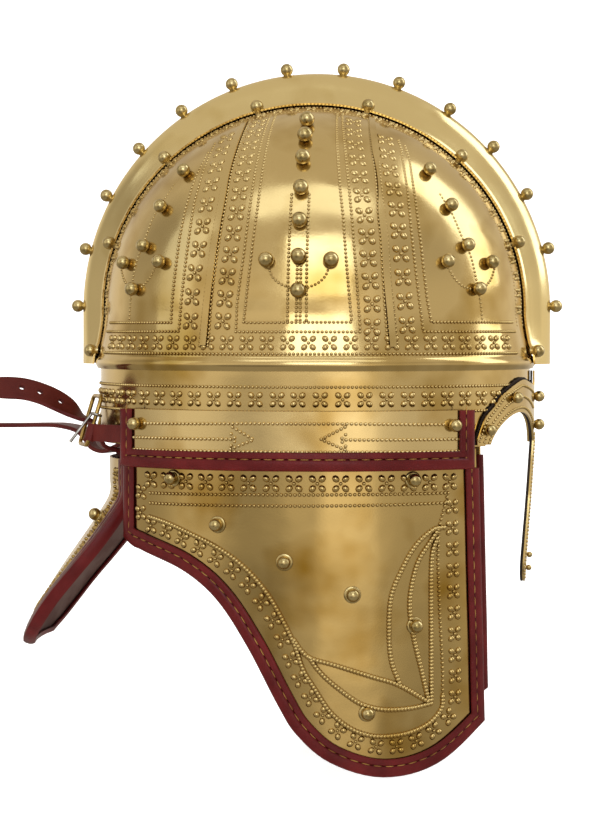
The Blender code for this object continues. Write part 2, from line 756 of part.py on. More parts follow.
def make_neck_guard():
    levels = [-section[0] * NECK_DROP for section in reversed(NECK_SECTIONS)]

    def flat(u, v):
        height = pick(levels, v)
        return Vector(((2 * u - 1) * neck_profile(-height / NECK_DROP)[1], height))

    def place(u, v):
        return neck_point(*flat(u, v))

    def lining_place(u, v):
        return neck_point(*flat(u, v), -SHEET - GAP)

    guard = mesh_object("neck_guard", sheet_grid(NECK_FACETS, len(levels) - 1, place), BRASS)
    thicken(guard, SHEET)
    lining = mesh_object("neck_lining", sheet_grid(NECK_FACETS, len(levels) - 1, lining_place), BROWN_LEATHER)
    thicken(lining, NECK_LINING)
    seats = [seat_on(neck_point, share * NECK_HALF_WIDTH, -down * NECK_DROP) for share, down in NECK_KNOBS]
    solder(guard, seats, NECK_KNOB_RADIUS)
    rows = [i / (len(levels) - 1) for i in range(len(levels))]
    path = [flat(0, v) for v in reversed(rows)] + [flat(i / NECK_FACETS, 0) for i in range(1, NECK_FACETS)]
    path += [flat(1, v) for v in rows]
    section = edging_section(NECK_ROOM, SHEET + GAP + NECK_LINING + 2 * NECK_ROOM)
    edging("neck_edging", path, neck_point, section, RED_LEATHER)


# Straps and buckles


def ribbon(name, stations, width, thickness, look, widths=()):
    """Strap through (middle, along, across) stations, with the given shares of its width at the last of them."""
    shares = [1.0] * (len(stations) - len(widths)) + list(widths)

    def place(u, v):
        index = round(u * (len(stations) - 1))
        middle, along, across = stations[index]
        side, face = ((-1, -1), (1, -1), (1, 1), (-1, 1), (-1, -1))[round(v * 4)]
        return middle + across * side * width * shares[index] / 2 + across.cross(along) * face * thickness / 2

    return mesh_object(name, sheet_grid(len(stations) - 1, 4, place, cap_ends=True), look)


def strap_stations(line):
    """Stations of a tail strap, turned about its own line by its twist."""
    stations = []
    for i, (out, height, twist) in enumerate(line):
        before, after = line[max(i - 1, 0)], line[min(i + 1, len(line) - 1)]
        along = (strap_point(*after[:2]) - strap_point(*before[:2])).normalized()
        level = strap_point(0, 0, 1) - strap_point(0, 0)
        across = level * math.cos(twist * math.pi / 2) + level.cross(along) * math.sin(twist * math.pi / 2)
        stations.append((strap_point(out, height), along, across))
    return stations


def make_tail_strap(name, line, mirror=False):
    stations = strap_stations(line)
    strap = ribbon(name, stations, STRAP_WIDTH, STRAP_LEATHER, STRAP_RED, TIP_WIDTHS)
    shape = bmesh.new()
    tip = stations[-1][0]
    for number in range(3):
        reach = FIRST_HOLE + number * HOLE_PITCH
        near = [(start, end) for start, end in zip(stations, stations[1:]) if (end[0] - tip).length < reach][0]
        (start, along, across), (end, _, _) = near
        share = ((start - tip).length - reach) / (end - start).length
        turn = Vector((0, 0, 1)).rotation_difference(across.cross((end - start).normalized()))
        hole = bmesh.ops.create_cone(
            shape, cap_ends=True, segments=8, radius1=HOLE_RADIUS, radius2=HOLE_RADIUS, depth=4 * STRAP_LEATHER
        )
        for vertex in hole["verts"]:
            vertex.co = turn @ vertex.co + start.lerp(end, share)
    mesh = bpy.data.meshes.new(name + "_holes")
    shape.to_mesh(mesh)
    shape.free()
    join(strap, mesh, "DIFFERENCE")
    if mirror:
        left_twin(strap)
        bpy.data.objects.remove(strap, do_unlink=True)


def wire(name, points, radius, cyclic):
    """Wire through points, as a closed mesh."""
    curve = bpy.data.curves.new(name, "CURVE")
    curve.dimensions = "3D"
    curve.bevel_depth = radius
    curve.bevel_resolution = 1
    curve.use_fill_caps = not cyclic
    spline = curve.splines.new("POLY")
    spline.points.add(len(points) - 1)
    for target, point in zip(spline.points, points):
        target.co = (*point, 1)
    spline.use_cyclic_u = cyclic
    return add_object(name, curve, DARK_BRASS)


def buckle_point(across, up, off=0.0):
    """Point of the leaning buckle: forward across it, up along it and off its outer side."""
    out = BUCKLE_OUT - up * math.sin(BUCKLE_LEAN) + off * math.cos(BUCKLE_LEAN)
    height = BUCKLE_LEVEL + up * math.cos(BUCKLE_LEAN) + off * math.sin(BUCKLE_LEAN)
    return strap_point(out, height, across)


def make_buckle():
    half_width = (BUCKLE_WIDTH - BUCKLE_WIRE) / 2
    half_height = (BUCKLE_HEIGHT - BUCKLE_WIRE) / 2
    points = []
    for right, up, start in ((1, 1, 0), (-1, 1, 90), (-1, -1, 180), (1, -1, 270)):
        for step in (0, 45, 90):
            angle = math.radians(start + step)
            across = right * (half_width - BUCKLE_CORNER) + BUCKLE_CORNER * math.cos(angle)
            rise = up * (half_height - BUCKLE_CORNER) + BUCKLE_CORNER * math.sin(angle)
            points.append(buckle_point(across, rise))
    left_twin(wire("buckle_frame_right", points, BUCKLE_WIRE / 2, True))
    loop_radius = BUCKLE_WIRE / 2 + SEAT_GAP + PRONG_WIRE / 2
    points = []
    for degrees in np.linspace(PRONG_CURL_START, PRONG_CURL_START + PRONG_CURL, 7):
        angle = math.radians(degrees)
        across = half_width - loop_radius * math.sin(angle)
        points.append(buckle_point(across, PRONG_ROOT, loop_radius * math.cos(angle)))
    along = buckle_point(0, -math.cos(PRONG_SPREAD), math.sin(PRONG_SPREAD)) - buckle_point(0, 0)
    points.append(points[-1] + along * PRONG_LENGTH)
    left_twin(wire("buckle_prong_right", points, PRONG_WIRE / 2, False))
    make_chape(half_width)


def make_chape(bar):
    """Short strap from under the hinge plate to an eye round the buckle's forward bar."""
    up = (BUCKLE_LEVEL - CHAPE_LEVEL) / math.cos(BUCKLE_LEAN)
    eye = buckle_point(bar, -up)
    eye_radius = BUCKLE_WIRE / 2 + GAP + EYE_WALL
    seat = GAP + CHAPE_LEATHER / 2
    line = [side_point(-start, CHAPE_LEVEL, seat) for start in (CHAPE_START, CHAPE_BEND)]
    line.append(line[1].lerp(eye, CHAPE_LIFT) + Vector((0, -CHAPE_SLACK, 0)))
    line.append(eye + (line[2] - eye).normalized() * (eye_radius - CHAPE_LEATHER / 2))
    stations = []
    for i, middle in enumerate(line):
        along = (line[min(i + 1, len(line) - 1)] - line[max(i - 1, 0)]).normalized()
        stations.append((middle, along, Vector((0, 0, 1))))
    chape = ribbon("buckle_strap_right", stations, CHAPE_WIDTH, CHAPE_LEATHER, STRAP_RED)
    axis = (buckle_point(bar, 0.01) - buckle_point(bar, 0)).normalized()
    turn = Vector((0, 0, 1)).rotation_difference(axis)
    for suffix, radius, length, operation in (
        ("_eye", eye_radius, CHAPE_WIDTH, "UNION"),
        ("_bore", BUCKLE_WIRE / 2 + GAP, 2 * CHAPE_WIDTH, "DIFFERENCE"),
    ):
        shape = bmesh.new()
        bmesh.ops.create_cone(shape, cap_ends=True, segments=12, radius1=radius, radius2=radius, depth=length)
        for vertex in shape.verts:
            vertex.co = turn @ vertex.co + eye
        mesh = bpy.data.meshes.new(chape.name + suffix)
        shape.to_mesh(mesh)
        shape.free()
        join(chape, mesh, operation)
    left_twin(chape)


make_bowl()
make_ridge()
make_crest_studs()
make_brow_band()
make_brow_guard()
make_hinge_plate()
make_cheek_hinge()
make_cheek()
make_neck_guard()
make_tail_strap("tail_strap_right", LEFT_TAIL, mirror=True)
make_tail_strap("tail_strap_right", RIGHT_TAIL)
make_buckle()
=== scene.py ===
"""Looks of the roman cavalry helmet: embossed sheet brass, stitched red leather, studs, straps and lining."""

import math

import bmesh
import bpy
import numpy as np
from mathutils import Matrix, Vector, noise


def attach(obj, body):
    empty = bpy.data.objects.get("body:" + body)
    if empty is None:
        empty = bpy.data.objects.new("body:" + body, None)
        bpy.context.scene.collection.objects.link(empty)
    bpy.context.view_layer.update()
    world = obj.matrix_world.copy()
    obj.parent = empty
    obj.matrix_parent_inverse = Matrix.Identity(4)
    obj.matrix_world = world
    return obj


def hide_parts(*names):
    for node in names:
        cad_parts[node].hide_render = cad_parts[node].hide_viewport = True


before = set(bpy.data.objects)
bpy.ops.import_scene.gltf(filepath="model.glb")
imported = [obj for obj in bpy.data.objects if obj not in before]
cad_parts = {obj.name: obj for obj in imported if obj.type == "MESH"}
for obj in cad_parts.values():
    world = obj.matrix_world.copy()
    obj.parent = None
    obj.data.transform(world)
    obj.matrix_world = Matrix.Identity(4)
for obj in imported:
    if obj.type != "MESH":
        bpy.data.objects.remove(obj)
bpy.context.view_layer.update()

MM = 0.001

# Sheet, leather and clearances
SHEET = 0.0010
EDGE_LEATHER = 0.0012
LINING = 0.0010
HINGE_LEATHER = 0.0015
STRAP_LEATHER = 0.0022
GAP = 0.0003
SEAT_GAP = 0.0005
FOLD_GAP = 0.0005

# Brow band and bowl
RIM_LENGTH = 0.2312
RIM_WIDTH = 0.1960
BAND_HEIGHT = 0.0390
BAND_TUCK = 0.0100
BAND_CLEARANCE = 0.0008
ROLL_HEIGHT = 0.0070
ROLL_BULGE = 0.0015
WAIST_HEIGHT = 0.0700
WAIST_INSET = 0.0024
DOME_RISE = 0.1095
PANEL_STUD = 0.0040
SMALL_PANEL_STUD = 0.0036

# Ridge
RIDGE_PROUD = 0.0108
RIDGE_HEIGHT = 0.0175
RIDGE_END = 0.0413
RIDGE_HALF_WIDTH = 0.0170
CREST_STUDS = 14
CREST_STUD = 0.0034
FLANGE_STUD = 0.0034
FLANGE_STUD_INSET = 0.0014
CREST_STUD_FIRST = 0.08
CREST_STUD_SPANS = CREST_STUDS - 0.85
FLANGE_STUD_TURNS = [-9.7, 18.6, 46.4, 75.0, 105.0, 133.6, 161.4, 189.7]
RIDGE_SECTION = [(-1, 0.035), (-0.95, 0.05), (-0.89, 0.10), (-0.82, 0.19), (-0.73, 0.31), (-0.62, 0.47)]
RIDGE_SECTION += [(-0.50, 0.65), (-0.36, 0.81), (-0.19, 0.95), (0, 1)]
RIDGE_SECTION += [(-across, rise) for across, rise in reversed(RIDGE_SECTION[:-1])]

# Brow guard and nasal
EYE_SPACING = 0.0700
EYE_ARCH_WIDTH = 0.0550
EYE_ARCH_HEIGHT = 0.0159
ARCH_SQUARENESS = 1.5
BROW_REACH = 0.0722
BROW_HEIGHT = 0.0334
BROW_END = 0.0008
TAB_HEIGHT = 0.0378
TAB_HALF_WIDTH = 0.0040
NASAL_DROP = 0.0745
NASAL_FOOT = 0.0140
NASAL_LEAN = 0.0045
FRINGE = 0.0012
BROW_STUD = 0.0030
BROW_EDGE = [(0.12, 0.90), (0.28, 0.955), (0.46, 1.0), (0.71, 0.81), (0.83, 0.60), (0.92, 0.44), (1.0, 0.09)]
GUARD_BEAD_ROWS = [0.16, 0.5, 0.84]
NASAL_EDGE = [(0.607, 0.11), (0.68, 0.40), (1.0, 0.86), (0.857, 0.97), (0.571, 1.0)]
BROW_STUDS = [(0.0, 0.009), (0.0, 0.024), (0.043, 0.0245), (0.0655, 0.0085)]
NASAL_RIVET = 0.0016
NASAL_BEAD_INSET = 0.0022
NASAL_BEAD_TOP = (0.0062, 0.004)
NASAL_RIVETS = [(0.0, -0.061), (0.0, -0.068)]

# Hinge plates
PLATE_REAR = 0.1000
PLATE_FRONT = 0.0900
PLATE_TOP = 0.0190
PLATE_BOTTOM = -0.0095
PLATE_RIVET = 0.0034
PLATE_RIVET_INSET = 0.0115
PLATE_RIVET_DROP = 0.0075
PLATE_OUT = GAP + HINGE_LEATHER + SEAT_GAP + EDGE_LEATHER + FOLD_GAP + SHEET
HINGE_BOTTOM = -0.0105

# Folded edgings with their stitches, each (half length, half width, height)
EDGE_FLAP = 0.0080
EDGE_SWELL = 0.0003
PLATE_EDGE_SWELL = 0.0006
NECK_INNER_FLAP = 0.0022
STITCH_LINE = 0.0045
STITCH_SINK = 0.0003
STITCH_PITCH = 0.0062
STITCH = (0.0024, 0.0004, 0.0004)

# Cheek pieces
CHEEK_REACH = 0.1050
CHEEK_TOP = -0.0010
CHEEK_DROP = 0.1650
CHEEK_LEAN = 0.0040
KNOB = 0.0034
KNOB_COLLAR = 1.28 * KNOB
COLLAR_HEIGHT = 0.0009
CHEEK_REAR_CORNER = (-1.0, 0.285)
CHEEK_CURVE = [(-0.93, 0.305), (-0.84, 0.318), (-0.59, 0.367), (-0.40, 0.452), (-0.24, 0.594), (-0.09, 0.773)]
CHEEK_CURVE += [(0.0, 0.863), (0.16, 0.948), (0.41, 0.995), (0.68, 0.965)]
CHEEK_FRONT_CORNER = (0.972, 0.850)
CHEEK_FRONT_TOP = (0.925, 0.0)
CHEEK_KNOBS = [(-0.40, 0.228), (-0.065, 0.338), (0.26, 0.437), (0.57, 0.537), (0.33, 0.802)]
CHEEK_RIVETS = [(-0.65, 0.090), (0.56, 0.090)]

# Neck guard
NECK_TUCK = 0.0046
NECK_TOP = -0.0085
NECK_DROP = 0.0990
NECK_FLARE = 0.0450
NECK_HALF_WIDTH = 0.0590
NECK_RADIUS = 0.1650
NECK_LINING = 0.0015
NECK_ROOM = 0.0002
NECK_KNOB = 0.0034
NECK_COLLAR = 0.0043
NECK_BEAD_DEPTHS = [0.0105, 0.0190]
NECK_ROSETTE_DEPTH = 0.0148
NECK_SECTIONS = [(0, 0, 0.91, 0.50), (0.11, 0, 0.91, 0.50), (0.20, 0, 0.91, 0.51), (0.30, 0.12, 0.92, 0.55)]
NECK_SECTIONS += [(0.44, 0.33, 0.98, 0.64), (0.58, 0.545, 1.0, 0.76), (0.72, 0.74, 0.95, 0.88)]
NECK_SECTIONS += [(0.84, 0.875, 0.86, 0.97), (0.94, 0.955, 0.68, 1.0), (1, 0.98, 0.45, 1.0)]
NECK_KNOBS = [(-0.50, 0.32), (0.50, 0.32)]

# Straps and buckles
STRAP_SIDE = 0.0300
STRAP_WIDTH = 0.0150
HOLE_RADIUS = 0.0016
HOLE_PITCH = 0.0112
FIRST_HOLE = 1.7 * HOLE_PITCH
TIP_TAPER = ([0, 0.0035, 0.0075, 0.012], [0.35, 0.72, 0.95, 1.0])
STRAP_SECTION = [(-0.94, -1), (0.94, -1), (1, -0.6), (1, 0.6), (0.94, 1), (-0.94, 1), (-1, 0.6), (-1, -0.6)]
STRAP_SECTION += STRAP_SECTION[:1]
BUCKLE_WIRE = 0.0022
BUCKLE_HEIGHT = 0.0290
BUCKLE_WIDTH = 0.0240
BUCKLE_CORNER = 0.0030
BUCKLE_LEAN = math.radians(17)
BUCKLE_OUT = 0.0072
BUCKLE_LEVEL = 0.0116
PRONG_WIRE = 0.0016
PRONG_LENGTH = 0.0190
PRONG_ROOT = 0.0035
PRONG_SPREAD = math.radians(21)
# Lines of the tail straps: out from the rim, height, quarter turns of twist
TAIL_ROOT = [(-0.0104, -0.0230, 0), (-0.0104, -0.0150, 0), (-0.0101, -0.0088, 0), (-0.0078, -0.0048, 0)]
TAIL_ROOT += [(-0.0034, -0.0036, 0)]
RIGHT_TAIL = TAIL_ROOT + [(0.0012, -0.0016, 0), (0.0042, 0.0052, 0), (0.0080, 0.0116, 0)]
RIGHT_TAIL += [(0.0120, 0.0135, 0.15), (0.0182, 0.0181, 0.4), (0.0255, 0.0223, 0.5), (0.0345, 0.0262, 0.5)]
RIGHT_TAIL += [(0.0440, 0.0286, 0.5), (0.0554, 0.0292, 0.5), (0.0600, 0.0292, 0.5), (0.0640, 0.0291, 0.5)]
LEFT_TAIL = TAIL_ROOT + [(0.0024, -0.0058, 0), (0.0090, -0.0082, 0), (0.0165, -0.0062, 0)]
LEFT_TAIL += [(0.0212, -0.0010, 0), (0.0270, 0.0034, 0), (0.0388, 0.0056, 0), (0.0500, 0.0057, 0)]
LEFT_TAIL += [(0.0640, 0.0053, 0), (0.0780, 0.0050, 0), (0.0855, 0.0049, 0), (0.0900, 0.0048, 0)]

# Rows of punched beads: distance between centres, radius, height
BEADS = (0.0021, 0.00090, 0.0011)
SEAM_BEADS = (0.0021, 0.00092, 0.0009)
ARC_BEADS = (0.0020, 0.0008, 0.0007)
CREST_BEADS = (0.0019, 0.00065, 0.0004)
GUARD_BEADS = (0.0020, 0.00085, 0.0008)
BOLD_BEADS = (0.0023, 0.00098, 0.0012)
# Raised cable line: beads so close that they run together
ROPE = (0.0018, 0.00150, 0.0016)

# Share of its radius by which a ball stud stands off the sheet
STUD_NECK = 0.80

# Rows of rosettes: distance between centres, width
COLUMN_ROSETTES = (0.0118, 0.0104)
FRIEZE_ROSETTES = (0.0106, 0.0090)
CREST_ROSETTES = (0.0088, 0.0058)
BAND_ROSETTES = (0.0112, 0.0092)
BORDER_ROSETTES = (0.0108, 0.0090)
CHEEK_ROW_ROSETTES = (0.0118, 0.0102)
NECK_ROSETTES = (0.0115, 0.0084)
# Shares of a rosette's width: a petal's distance, half length, half width, height; a dot's radius, height
PETAL = (0.34, 0.215, 0.18, 0.165)
DOT = (0.10, 0.115)

# Relief beside the ridge, by its distance from the middle, and wear of the relief from WEAR_START upwards
CREST_BEAD_ROWS = [-0.0192, -0.0285]
CREST_ROSETTE_ROW = -0.0240
WEAR = 0.55
WEAR_START = 0.10
WEAR_RISE = 0.05

# Relief lines of the right half bowl in millimetres: forward, up
REAR_SEAM = [
    [(-50.8, 51.6), (-49, 70.2), (-46.5, 90), (-44.9, 106.5), (-42.2, 125.6), (-40.8, 139.8)]
    + [(-38.4, 155.5), (-35.5, 168)],
    [(-46.4, 51.7), (-45.2, 70.2), (-43.2, 90), (-41.1, 106.4), (-38.9, 124.3), (-37.5, 139.7)]
    + [(-34.8, 155.3), (-32, 170)],
]
FRONT_SEAM = [
    [(44.7, 51), (43.3, 66.1), (42, 84.7), (40.5, 104.9), (39, 117.7), (37.3, 136), (34.4, 152.3)]
    + [(31, 170)],
    [(49.1, 51), (47.7, 66.1), (45.4, 84.7), (43.7, 105), (41.9, 117.8), (40, 130.8), (36.9, 152.4)]
    + [(33.5, 169)],
]
REAR_PANEL = [
    [(-105, 63.3), (-66.9, 63.3), (-66.5, 72.3), (-63.1, 106.9), (-61.2, 120), (-57.5, 137), (-52, 152)],
    [(-107, 58.6), (-62.4, 58.8), (-61.4, 72.3), (-58.2, 103.6), (-56.2, 124.8), (-53, 142), (-49, 157)],
]
MIDDLE_PANEL = [
    [(-18, 173), (-19.3, 159.4), (-20.6, 141.4), (-21.9, 121.9), (-24.2, 97.9), (-26.9, 72.2)]
    + [(-27.9, 63.3), (26.6, 63.5), (24.1, 89.7), (21.6, 116.6), (19.6, 130.6), (16.8, 152), (14.4, 173)],
    [(-21, 172), (-22.9, 157.2), (-24.4, 141.5), (-25.8, 124.1), (-27.9, 99.9), (-31.4, 72.2)]
    + [(-31.8, 58.7), (30.9, 58.6), (28.6, 89.7), (25.9, 116.6), (24.1, 130.6), (20.8, 152.1), (17, 173)],
]
FRONT_PANEL = [
    [(106, 63.5), (65.7, 63.5), (63.7, 74.7), (60, 105.2), (57.1, 125.9), (53.3, 147.4), (50.5, 155)],
    [(107.5, 58.7), (61.8, 58.7), (59.8, 74.7), (56, 105.1), (53, 131.1), (48.9, 152.9), (47, 158)],
]
FOOT_LINE = [(-108.5, 47.6), (108.5, 47.6)]
STRIP_LINES = [
    [(-5.5, 64.5), (-5.0, 106.1), (-4.7, 128)],
    [(-1.1, 64.5), (-0.6, 96)],
    [(0.9, 64.5), (1.2, 96)],
    [(4.0, 64.5), (4.1, 99.7), (4.2, 128)],
]
SEAM_WIDTH = 3.2
SEAM_RISE = 0.0007
SEAM_SHEET = 0.0008
STUD_ARCS = [
    [(15.2, 91.2), (13.4, 86.6), (9.8, 83.1), (4.8, 80.8)],
    [(-15.2, 91.2), (-13.4, 86.6), (-9.8, 83.1), (-4.8, 80.8)],
    [(74, 91.1), (77, 86), (81, 82), (85, 80.5)],
    [(97, 91), (95.5, 86), (93, 82.5), (91, 81)],
    [(-76.7, 91.5), (-79.5, 86.3), (-84.3, 81.8)],
    [(-98, 91), (-96, 86), (-93, 82)],
    [(69.4, 129), (75.7, 118.6), (80.8, 106.7), (84.9, 98), (87.5, 87.7), (90, 74.9), (91, 65.5)],
    [(-69.4, 135), (-79, 119.4), (-83.8, 106.3), (-88.5, 93.3), (-90.8, 80.3), (-92, 65.5)],
]
ROSETTE_COLUMNS = [
    [(-56, 64), (-54.6, 84), (-51.5, 106), (-49.6, 122), (-46.8, 140), (-43, 160)],
    [(-38.7, 64), (-36.9, 84), (-35.0, 100), (-32.4, 124), (-31, 141), (-28.8, 157), (-26.6, 168)],
    [(36.7, 61.1), (36.6, 73.1), (35.6, 85.2), (34.4, 96.3), (33.4, 109), (31, 125), (28, 143)]
    + [(25.2, 157), (23.4, 168)],
    [(53.9, 62), (52.6, 76.2), (51.3, 90.8), (49.7, 106), (47.3, 125), (43.8, 143), (40.6, 158)],
]
FRIEZE = [(-103, 53.1), (103, 53.1)]

# Studs of each half bowl in degrees: round from the front, up the dome
MIDDLE_STUDS = [(90, 61.4), (90, 53.1), (90, 43.7), (90, 33.3), (90, 23.6), (90, 13.8), (90, 4.9)]
MIDDLE_STUDS += [(98.3, 12.8), (81.7, 12.8)]
END_STUDS = [(43.6, 40.2), (42.2, 28.6), (40.6, 17.2), (49.0, 12.7), (31.7, 12.7), (38.8, 5.5)]

# Relief of the cheek pieces in millimetres: forward of the side's middle, up
CHEEK_LINES = [
    [(-84.6, -24.2), (-24.5, -23.1), (26.1, -22.8), (77, -23.0)],
    [(-84.6, -29.4), (-24.5, -28.7), (26.1, -28.3), (77, -28.0)],
    [(79.0, -23), (73.6, -40), (73, -56.6), (74.2, -86.9), (75.9, -115), (75.9, -128)],
]
CHEEK_ROPES = [
    [(-85, -36.6), (-80.2, -37.4), (-70.6, -39.6), (-59.2, -43.4), (-46.2, -48.4), (-34.1, -55)]
    + [(-24.5, -62.7), (-16.2, -72.1), (-9.5, -82.9), (-2, -98), (2.6, -111.2), (8.6, -121.2)]
    + [(16.1, -132.6), (25.6, -140.6), (35.2, -144.6), (45, -145.6), (57.3, -144.2), (68.4, -139.8)]
    + [(75.2, -133), (75.9, -127)],
    [(76.5, -40.5), (70.1, -41.4), (60.5, -49), (53.5, -59.9), (47.4, -73.7), (46.1, -90.2)]
    + [(47.3, -106.8), (51.4, -118.4)],
    [(73, -41.4), (69, -46.8), (61.6, -57.6), (57.8, -71.1), (57.2, -82.6), (59.4, -96.3), (63.3, -111.5)]
    + [(67.6, -128.4)],
    [(72.4, -46), (69.4, -56.4), (69, -91.2), (69.2, -125), (69, -130)],
    [(-2, -96.2), (1.6, -101.4), (6.6, -105.4), (18.1, -108.7), (37.3, -115.0), (50.8, -119.5)]
    + [(67.2, -128.9)],
    [(5.6, -104.9), (10.2, -111.4), (16.1, -117.3), (26.1, -125.2), (33.2, -129.3), (44, -131.9)]
    + [(57.3, -131.8), (69, -130)],
]
CHEEK_BORDER = [(-91.7, -24), (-91.9, -36), (-86, -40.6), (-80.9, -41.5), (-69.3, -44.4), (-57.4, -49.2)]
CHEEK_BORDER += [(-45.7, -54.6), (-36.2, -60.3), (-27.7, -67.2), (-20.6, -75), (-13.6, -85), (-8.5, -94.6)]
CHEEK_BORDER += [(-4.5, -104), (-1.5, -111.3), (2.6, -119.2), (8.1, -128.6), (15.6, -138.1)]
CHEEK_BORDER += [(23.6, -145.2), (33, -149.2), (43, -151.2), (54, -150.4), (65, -147.2), (75, -141.2)]
CHEEK_BORDER += [(82, -134.5), (83.6, -124), (83.2, -102.5), (82.8, -87.3), (82.4, -72.1), (82, -56.9)]
CHEEK_BORDER += [(81.6, -41.7), (81.4, -30)]
CHEEK_ROW = [(-84, -17.3), (80, -17.3)]

# Relief of the hinge plates and the brow band in millimetres
PLATE_LINES = [
    [(-83, 11.8), (-23.2, 12.9), (25.5, 12.9), (73, 12.0)],
    [(-95.5, 4.4), (-32.9, 4.9)],
    [(23.6, 4.9), (84.8, 4.4)],
    [(-31.9, 11), (-21.2, 4.8), (-32.9, 0)],
    [(-32.6, 7.6), (-30, 4.9), (-32.6, 1.8)],
    [(23.1, 11.3), (11.5, 5.2), (23.1, 0)],
    [(23.4, 7.6), (20.8, 4.9), (23.4, 1.8)],
    [(-95, -1.7), (-23.2, -1.2), (25.5, -1.2), (84.6, -1.7)],
]
BAND_LINES = [31.0, 18.3]
BAND_ROSETTE_LEVEL = 24.7
BAND_ROW_GAP = 2

# Backdrop: floor below the cheek pieces, distance of its bend, radius of the bend, height
FLOOR_DROP = 0.012
BEND_START = 1.3
BEND_RADIUS = 0.7
BACKDROP_HEIGHT = 3.2

# Windows of the studio: name, place, width, height, watts, the point that each faces
WINDOWS = [
    ("front_window", (0.12, -1.5, 0.64), 0.8, 0.85, 6.2, (0, 0, 0.08)),
    ("skylight", (0.0, -0.95, 1.5), 1.6, 0.5, 3.4, (0, 0, 0.08)),
    ("left_window", (-1.6, -0.6, 0.7), 0.7, 1.2, 2, (0, 0, 0.05)),
    ("right_window", (1.35, 0.3, 1.0), 0.7, 1.6, 9.5, (0, 0, 0.08)),
]
DAYLIGHT = (0.72, 0.83, 1.0)

# Patches of the room that the brass mirrors: direction, cosines of the inner and outer edge, brightness
PATCHES = [
    ((-0.42, -0.84, -0.28), 0.975, 0.93, 0.6),
    ((0.28, -0.93, -0.16), 0.985, 0.96, 1.7),
    ((0.85, -0.50, 0.2), 0.93, 0.86, 0.8),
    ((-0.98, 0.0, 0.25), 0.95, 0.85, 0.6),
]

# Camera: turn forward of the right side, tilt down, distance, place along the helmet, height, lens
CAMERA_TURN = math.radians(5.3)
CAMERA_TILT = math.radians(2.26)
CAMERA_DISTANCE = 1.3
CAMERA_FORWARD = -0.008
CAMERA_HEIGHT = 0.0621
CAMERA_LENS = 103.16

# Mesh fineness
RIM_COLUMNS = 256
RIDGE_COLUMNS = 200
SHEET_STEP = 0.0035
CHEEK_STEP = 0.0045
PATH_STEP = 0.0030


# Round the head


ANGLES = np.linspace(0, 2 * math.pi, 1441)
STEPS = np.hypot(np.diff(RIM_LENGTH / 2 * np.cos(ANGLES)), np.diff(RIM_WIDTH / 2 * np.sin(ANGLES)))
LENGTHS = np.concatenate([[0], np.cumsum(STEPS)])
ROUND = float(LENGTHS[-1])
SIDE = ROUND / 4


def head_point(along, height, out=0.0):
    angle = float(np.interp(along % ROUND, LENGTHS, ANGLES))
    normal = Vector((RIM_WIDTH * math.cos(angle), -RIM_LENGTH * math.sin(angle))).normalized()
    x = RIM_LENGTH / 2 * math.cos(angle) + out * normal.x
    y = -RIM_WIDTH / 2 * math.sin(angle) + out * normal.y
    return Vector((x, y, height))


def side_point(forward, height, out=0.0):
    return head_point(SIDE - forward, height, out)


def cheek_point(forward, height, out=0.0):
    """Cheek pieces lean in towards the jaw, and their hand-beaten sheet is a little uneven."""
    uneven = 0.0003 * noise.noise(Vector((forward * 26, height * 26, 3.1)))
    point = side_point(forward, height, out + uneven)
    point.y += CHEEK_LEAN * ((CHEEK_TOP - height) / CHEEK_DROP) ** 2
    return point


def guard_point(left, height, out=0.0):
    point = head_point(-left, height, out)
    point.x -= NASAL_LEAN * max(0.0, -height) / NASAL_DROP
    return point


def smooth_line(points, pieces):
    """Points of a smooth curve through the given ones, with that many pieces to each span."""
    points = [Vector(p) for p in points]
    before = [2 * points[0] - points[1], *points, 2 * points[-1] - points[-2]]
    line = [points[0]]
    for a, b, c, d in zip(before, before[1:], before[2:], before[3:]):
        for i in range(1, pieces + 1):
            t = i / pieces
            curve = 2 * b + (c - a) * t + (2 * a - 5 * b + 4 * c - d) * t * t + (3 * b - a - 3 * c + d) * t**3
            line.append(curve / 2)
    return line


NECK_PROFILE = smooth_line(NECK_SECTIONS, 4)


def neck_profile(down):
    """Flare, half width round the bend and radius of the neck guard, at its share of the drop."""
    downs, *shares = zip(*NECK_PROFILE)
    sizes = (NECK_FLARE, NECK_HALF_WIDTH, NECK_RADIUS)
    return [float(np.interp(down, downs, share)) * size for share, size in zip(shares, sizes)]


def neck_point(right, height, out=0.0):
    down = -height / NECK_DROP
    flare, _, radius = neck_profile(down)
    above, below = max(down - 0.04, 0), min(down + 0.04, 1)
    slope = math.atan2(neck_profile(below)[0] - neck_profile(above)[0], (below - above) * NECK_DROP)
    turn = right / radius
    reach = radius + out * math.cos(slope)
    middle = radius + NECK_TUCK - RIM_LENGTH / 2 - flare
    height += NECK_TOP + out * math.sin(slope)
    return Vector((middle - reach * math.cos(turn), -reach * math.sin(turn), height))


def bowl_axes(height):
    share = min(max((WAIST_HEIGHT - height) / (WAIST_HEIGHT - BAND_HEIGHT), 0), 1)
    spread = (WAIST_INSET + SEAT_GAP + SHEET) * share * share * (3 - 2 * share) - WAIST_INSET
    return RIM_LENGTH / 2 + spread, RIM_WIDTH / 2 + spread


WAIST_X, WAIST_Y = bowl_axes(WAIST_HEIGHT)


def bowl_point(turn, height, lift=0.0):
    """Point of the right half's outer face; turn is 0 at the front, and lift is the angle up the dome."""
    share = (height - BAND_HEIGHT) / ROLL_HEIGHT
    bulge = ROLL_BULGE * math.sin(math.pi * share) if 0 < share < 1 else 0.0
    x, y = (axis + bulge for axis in bowl_axes(height))
    x *= math.cos(turn) * math.cos(lift)
    y = GAP / 2 + (y - GAP / 2) * math.sin(turn) * math.cos(lift)
    return Vector((x, -y, height + DOME_RISE * math.sin(lift)))


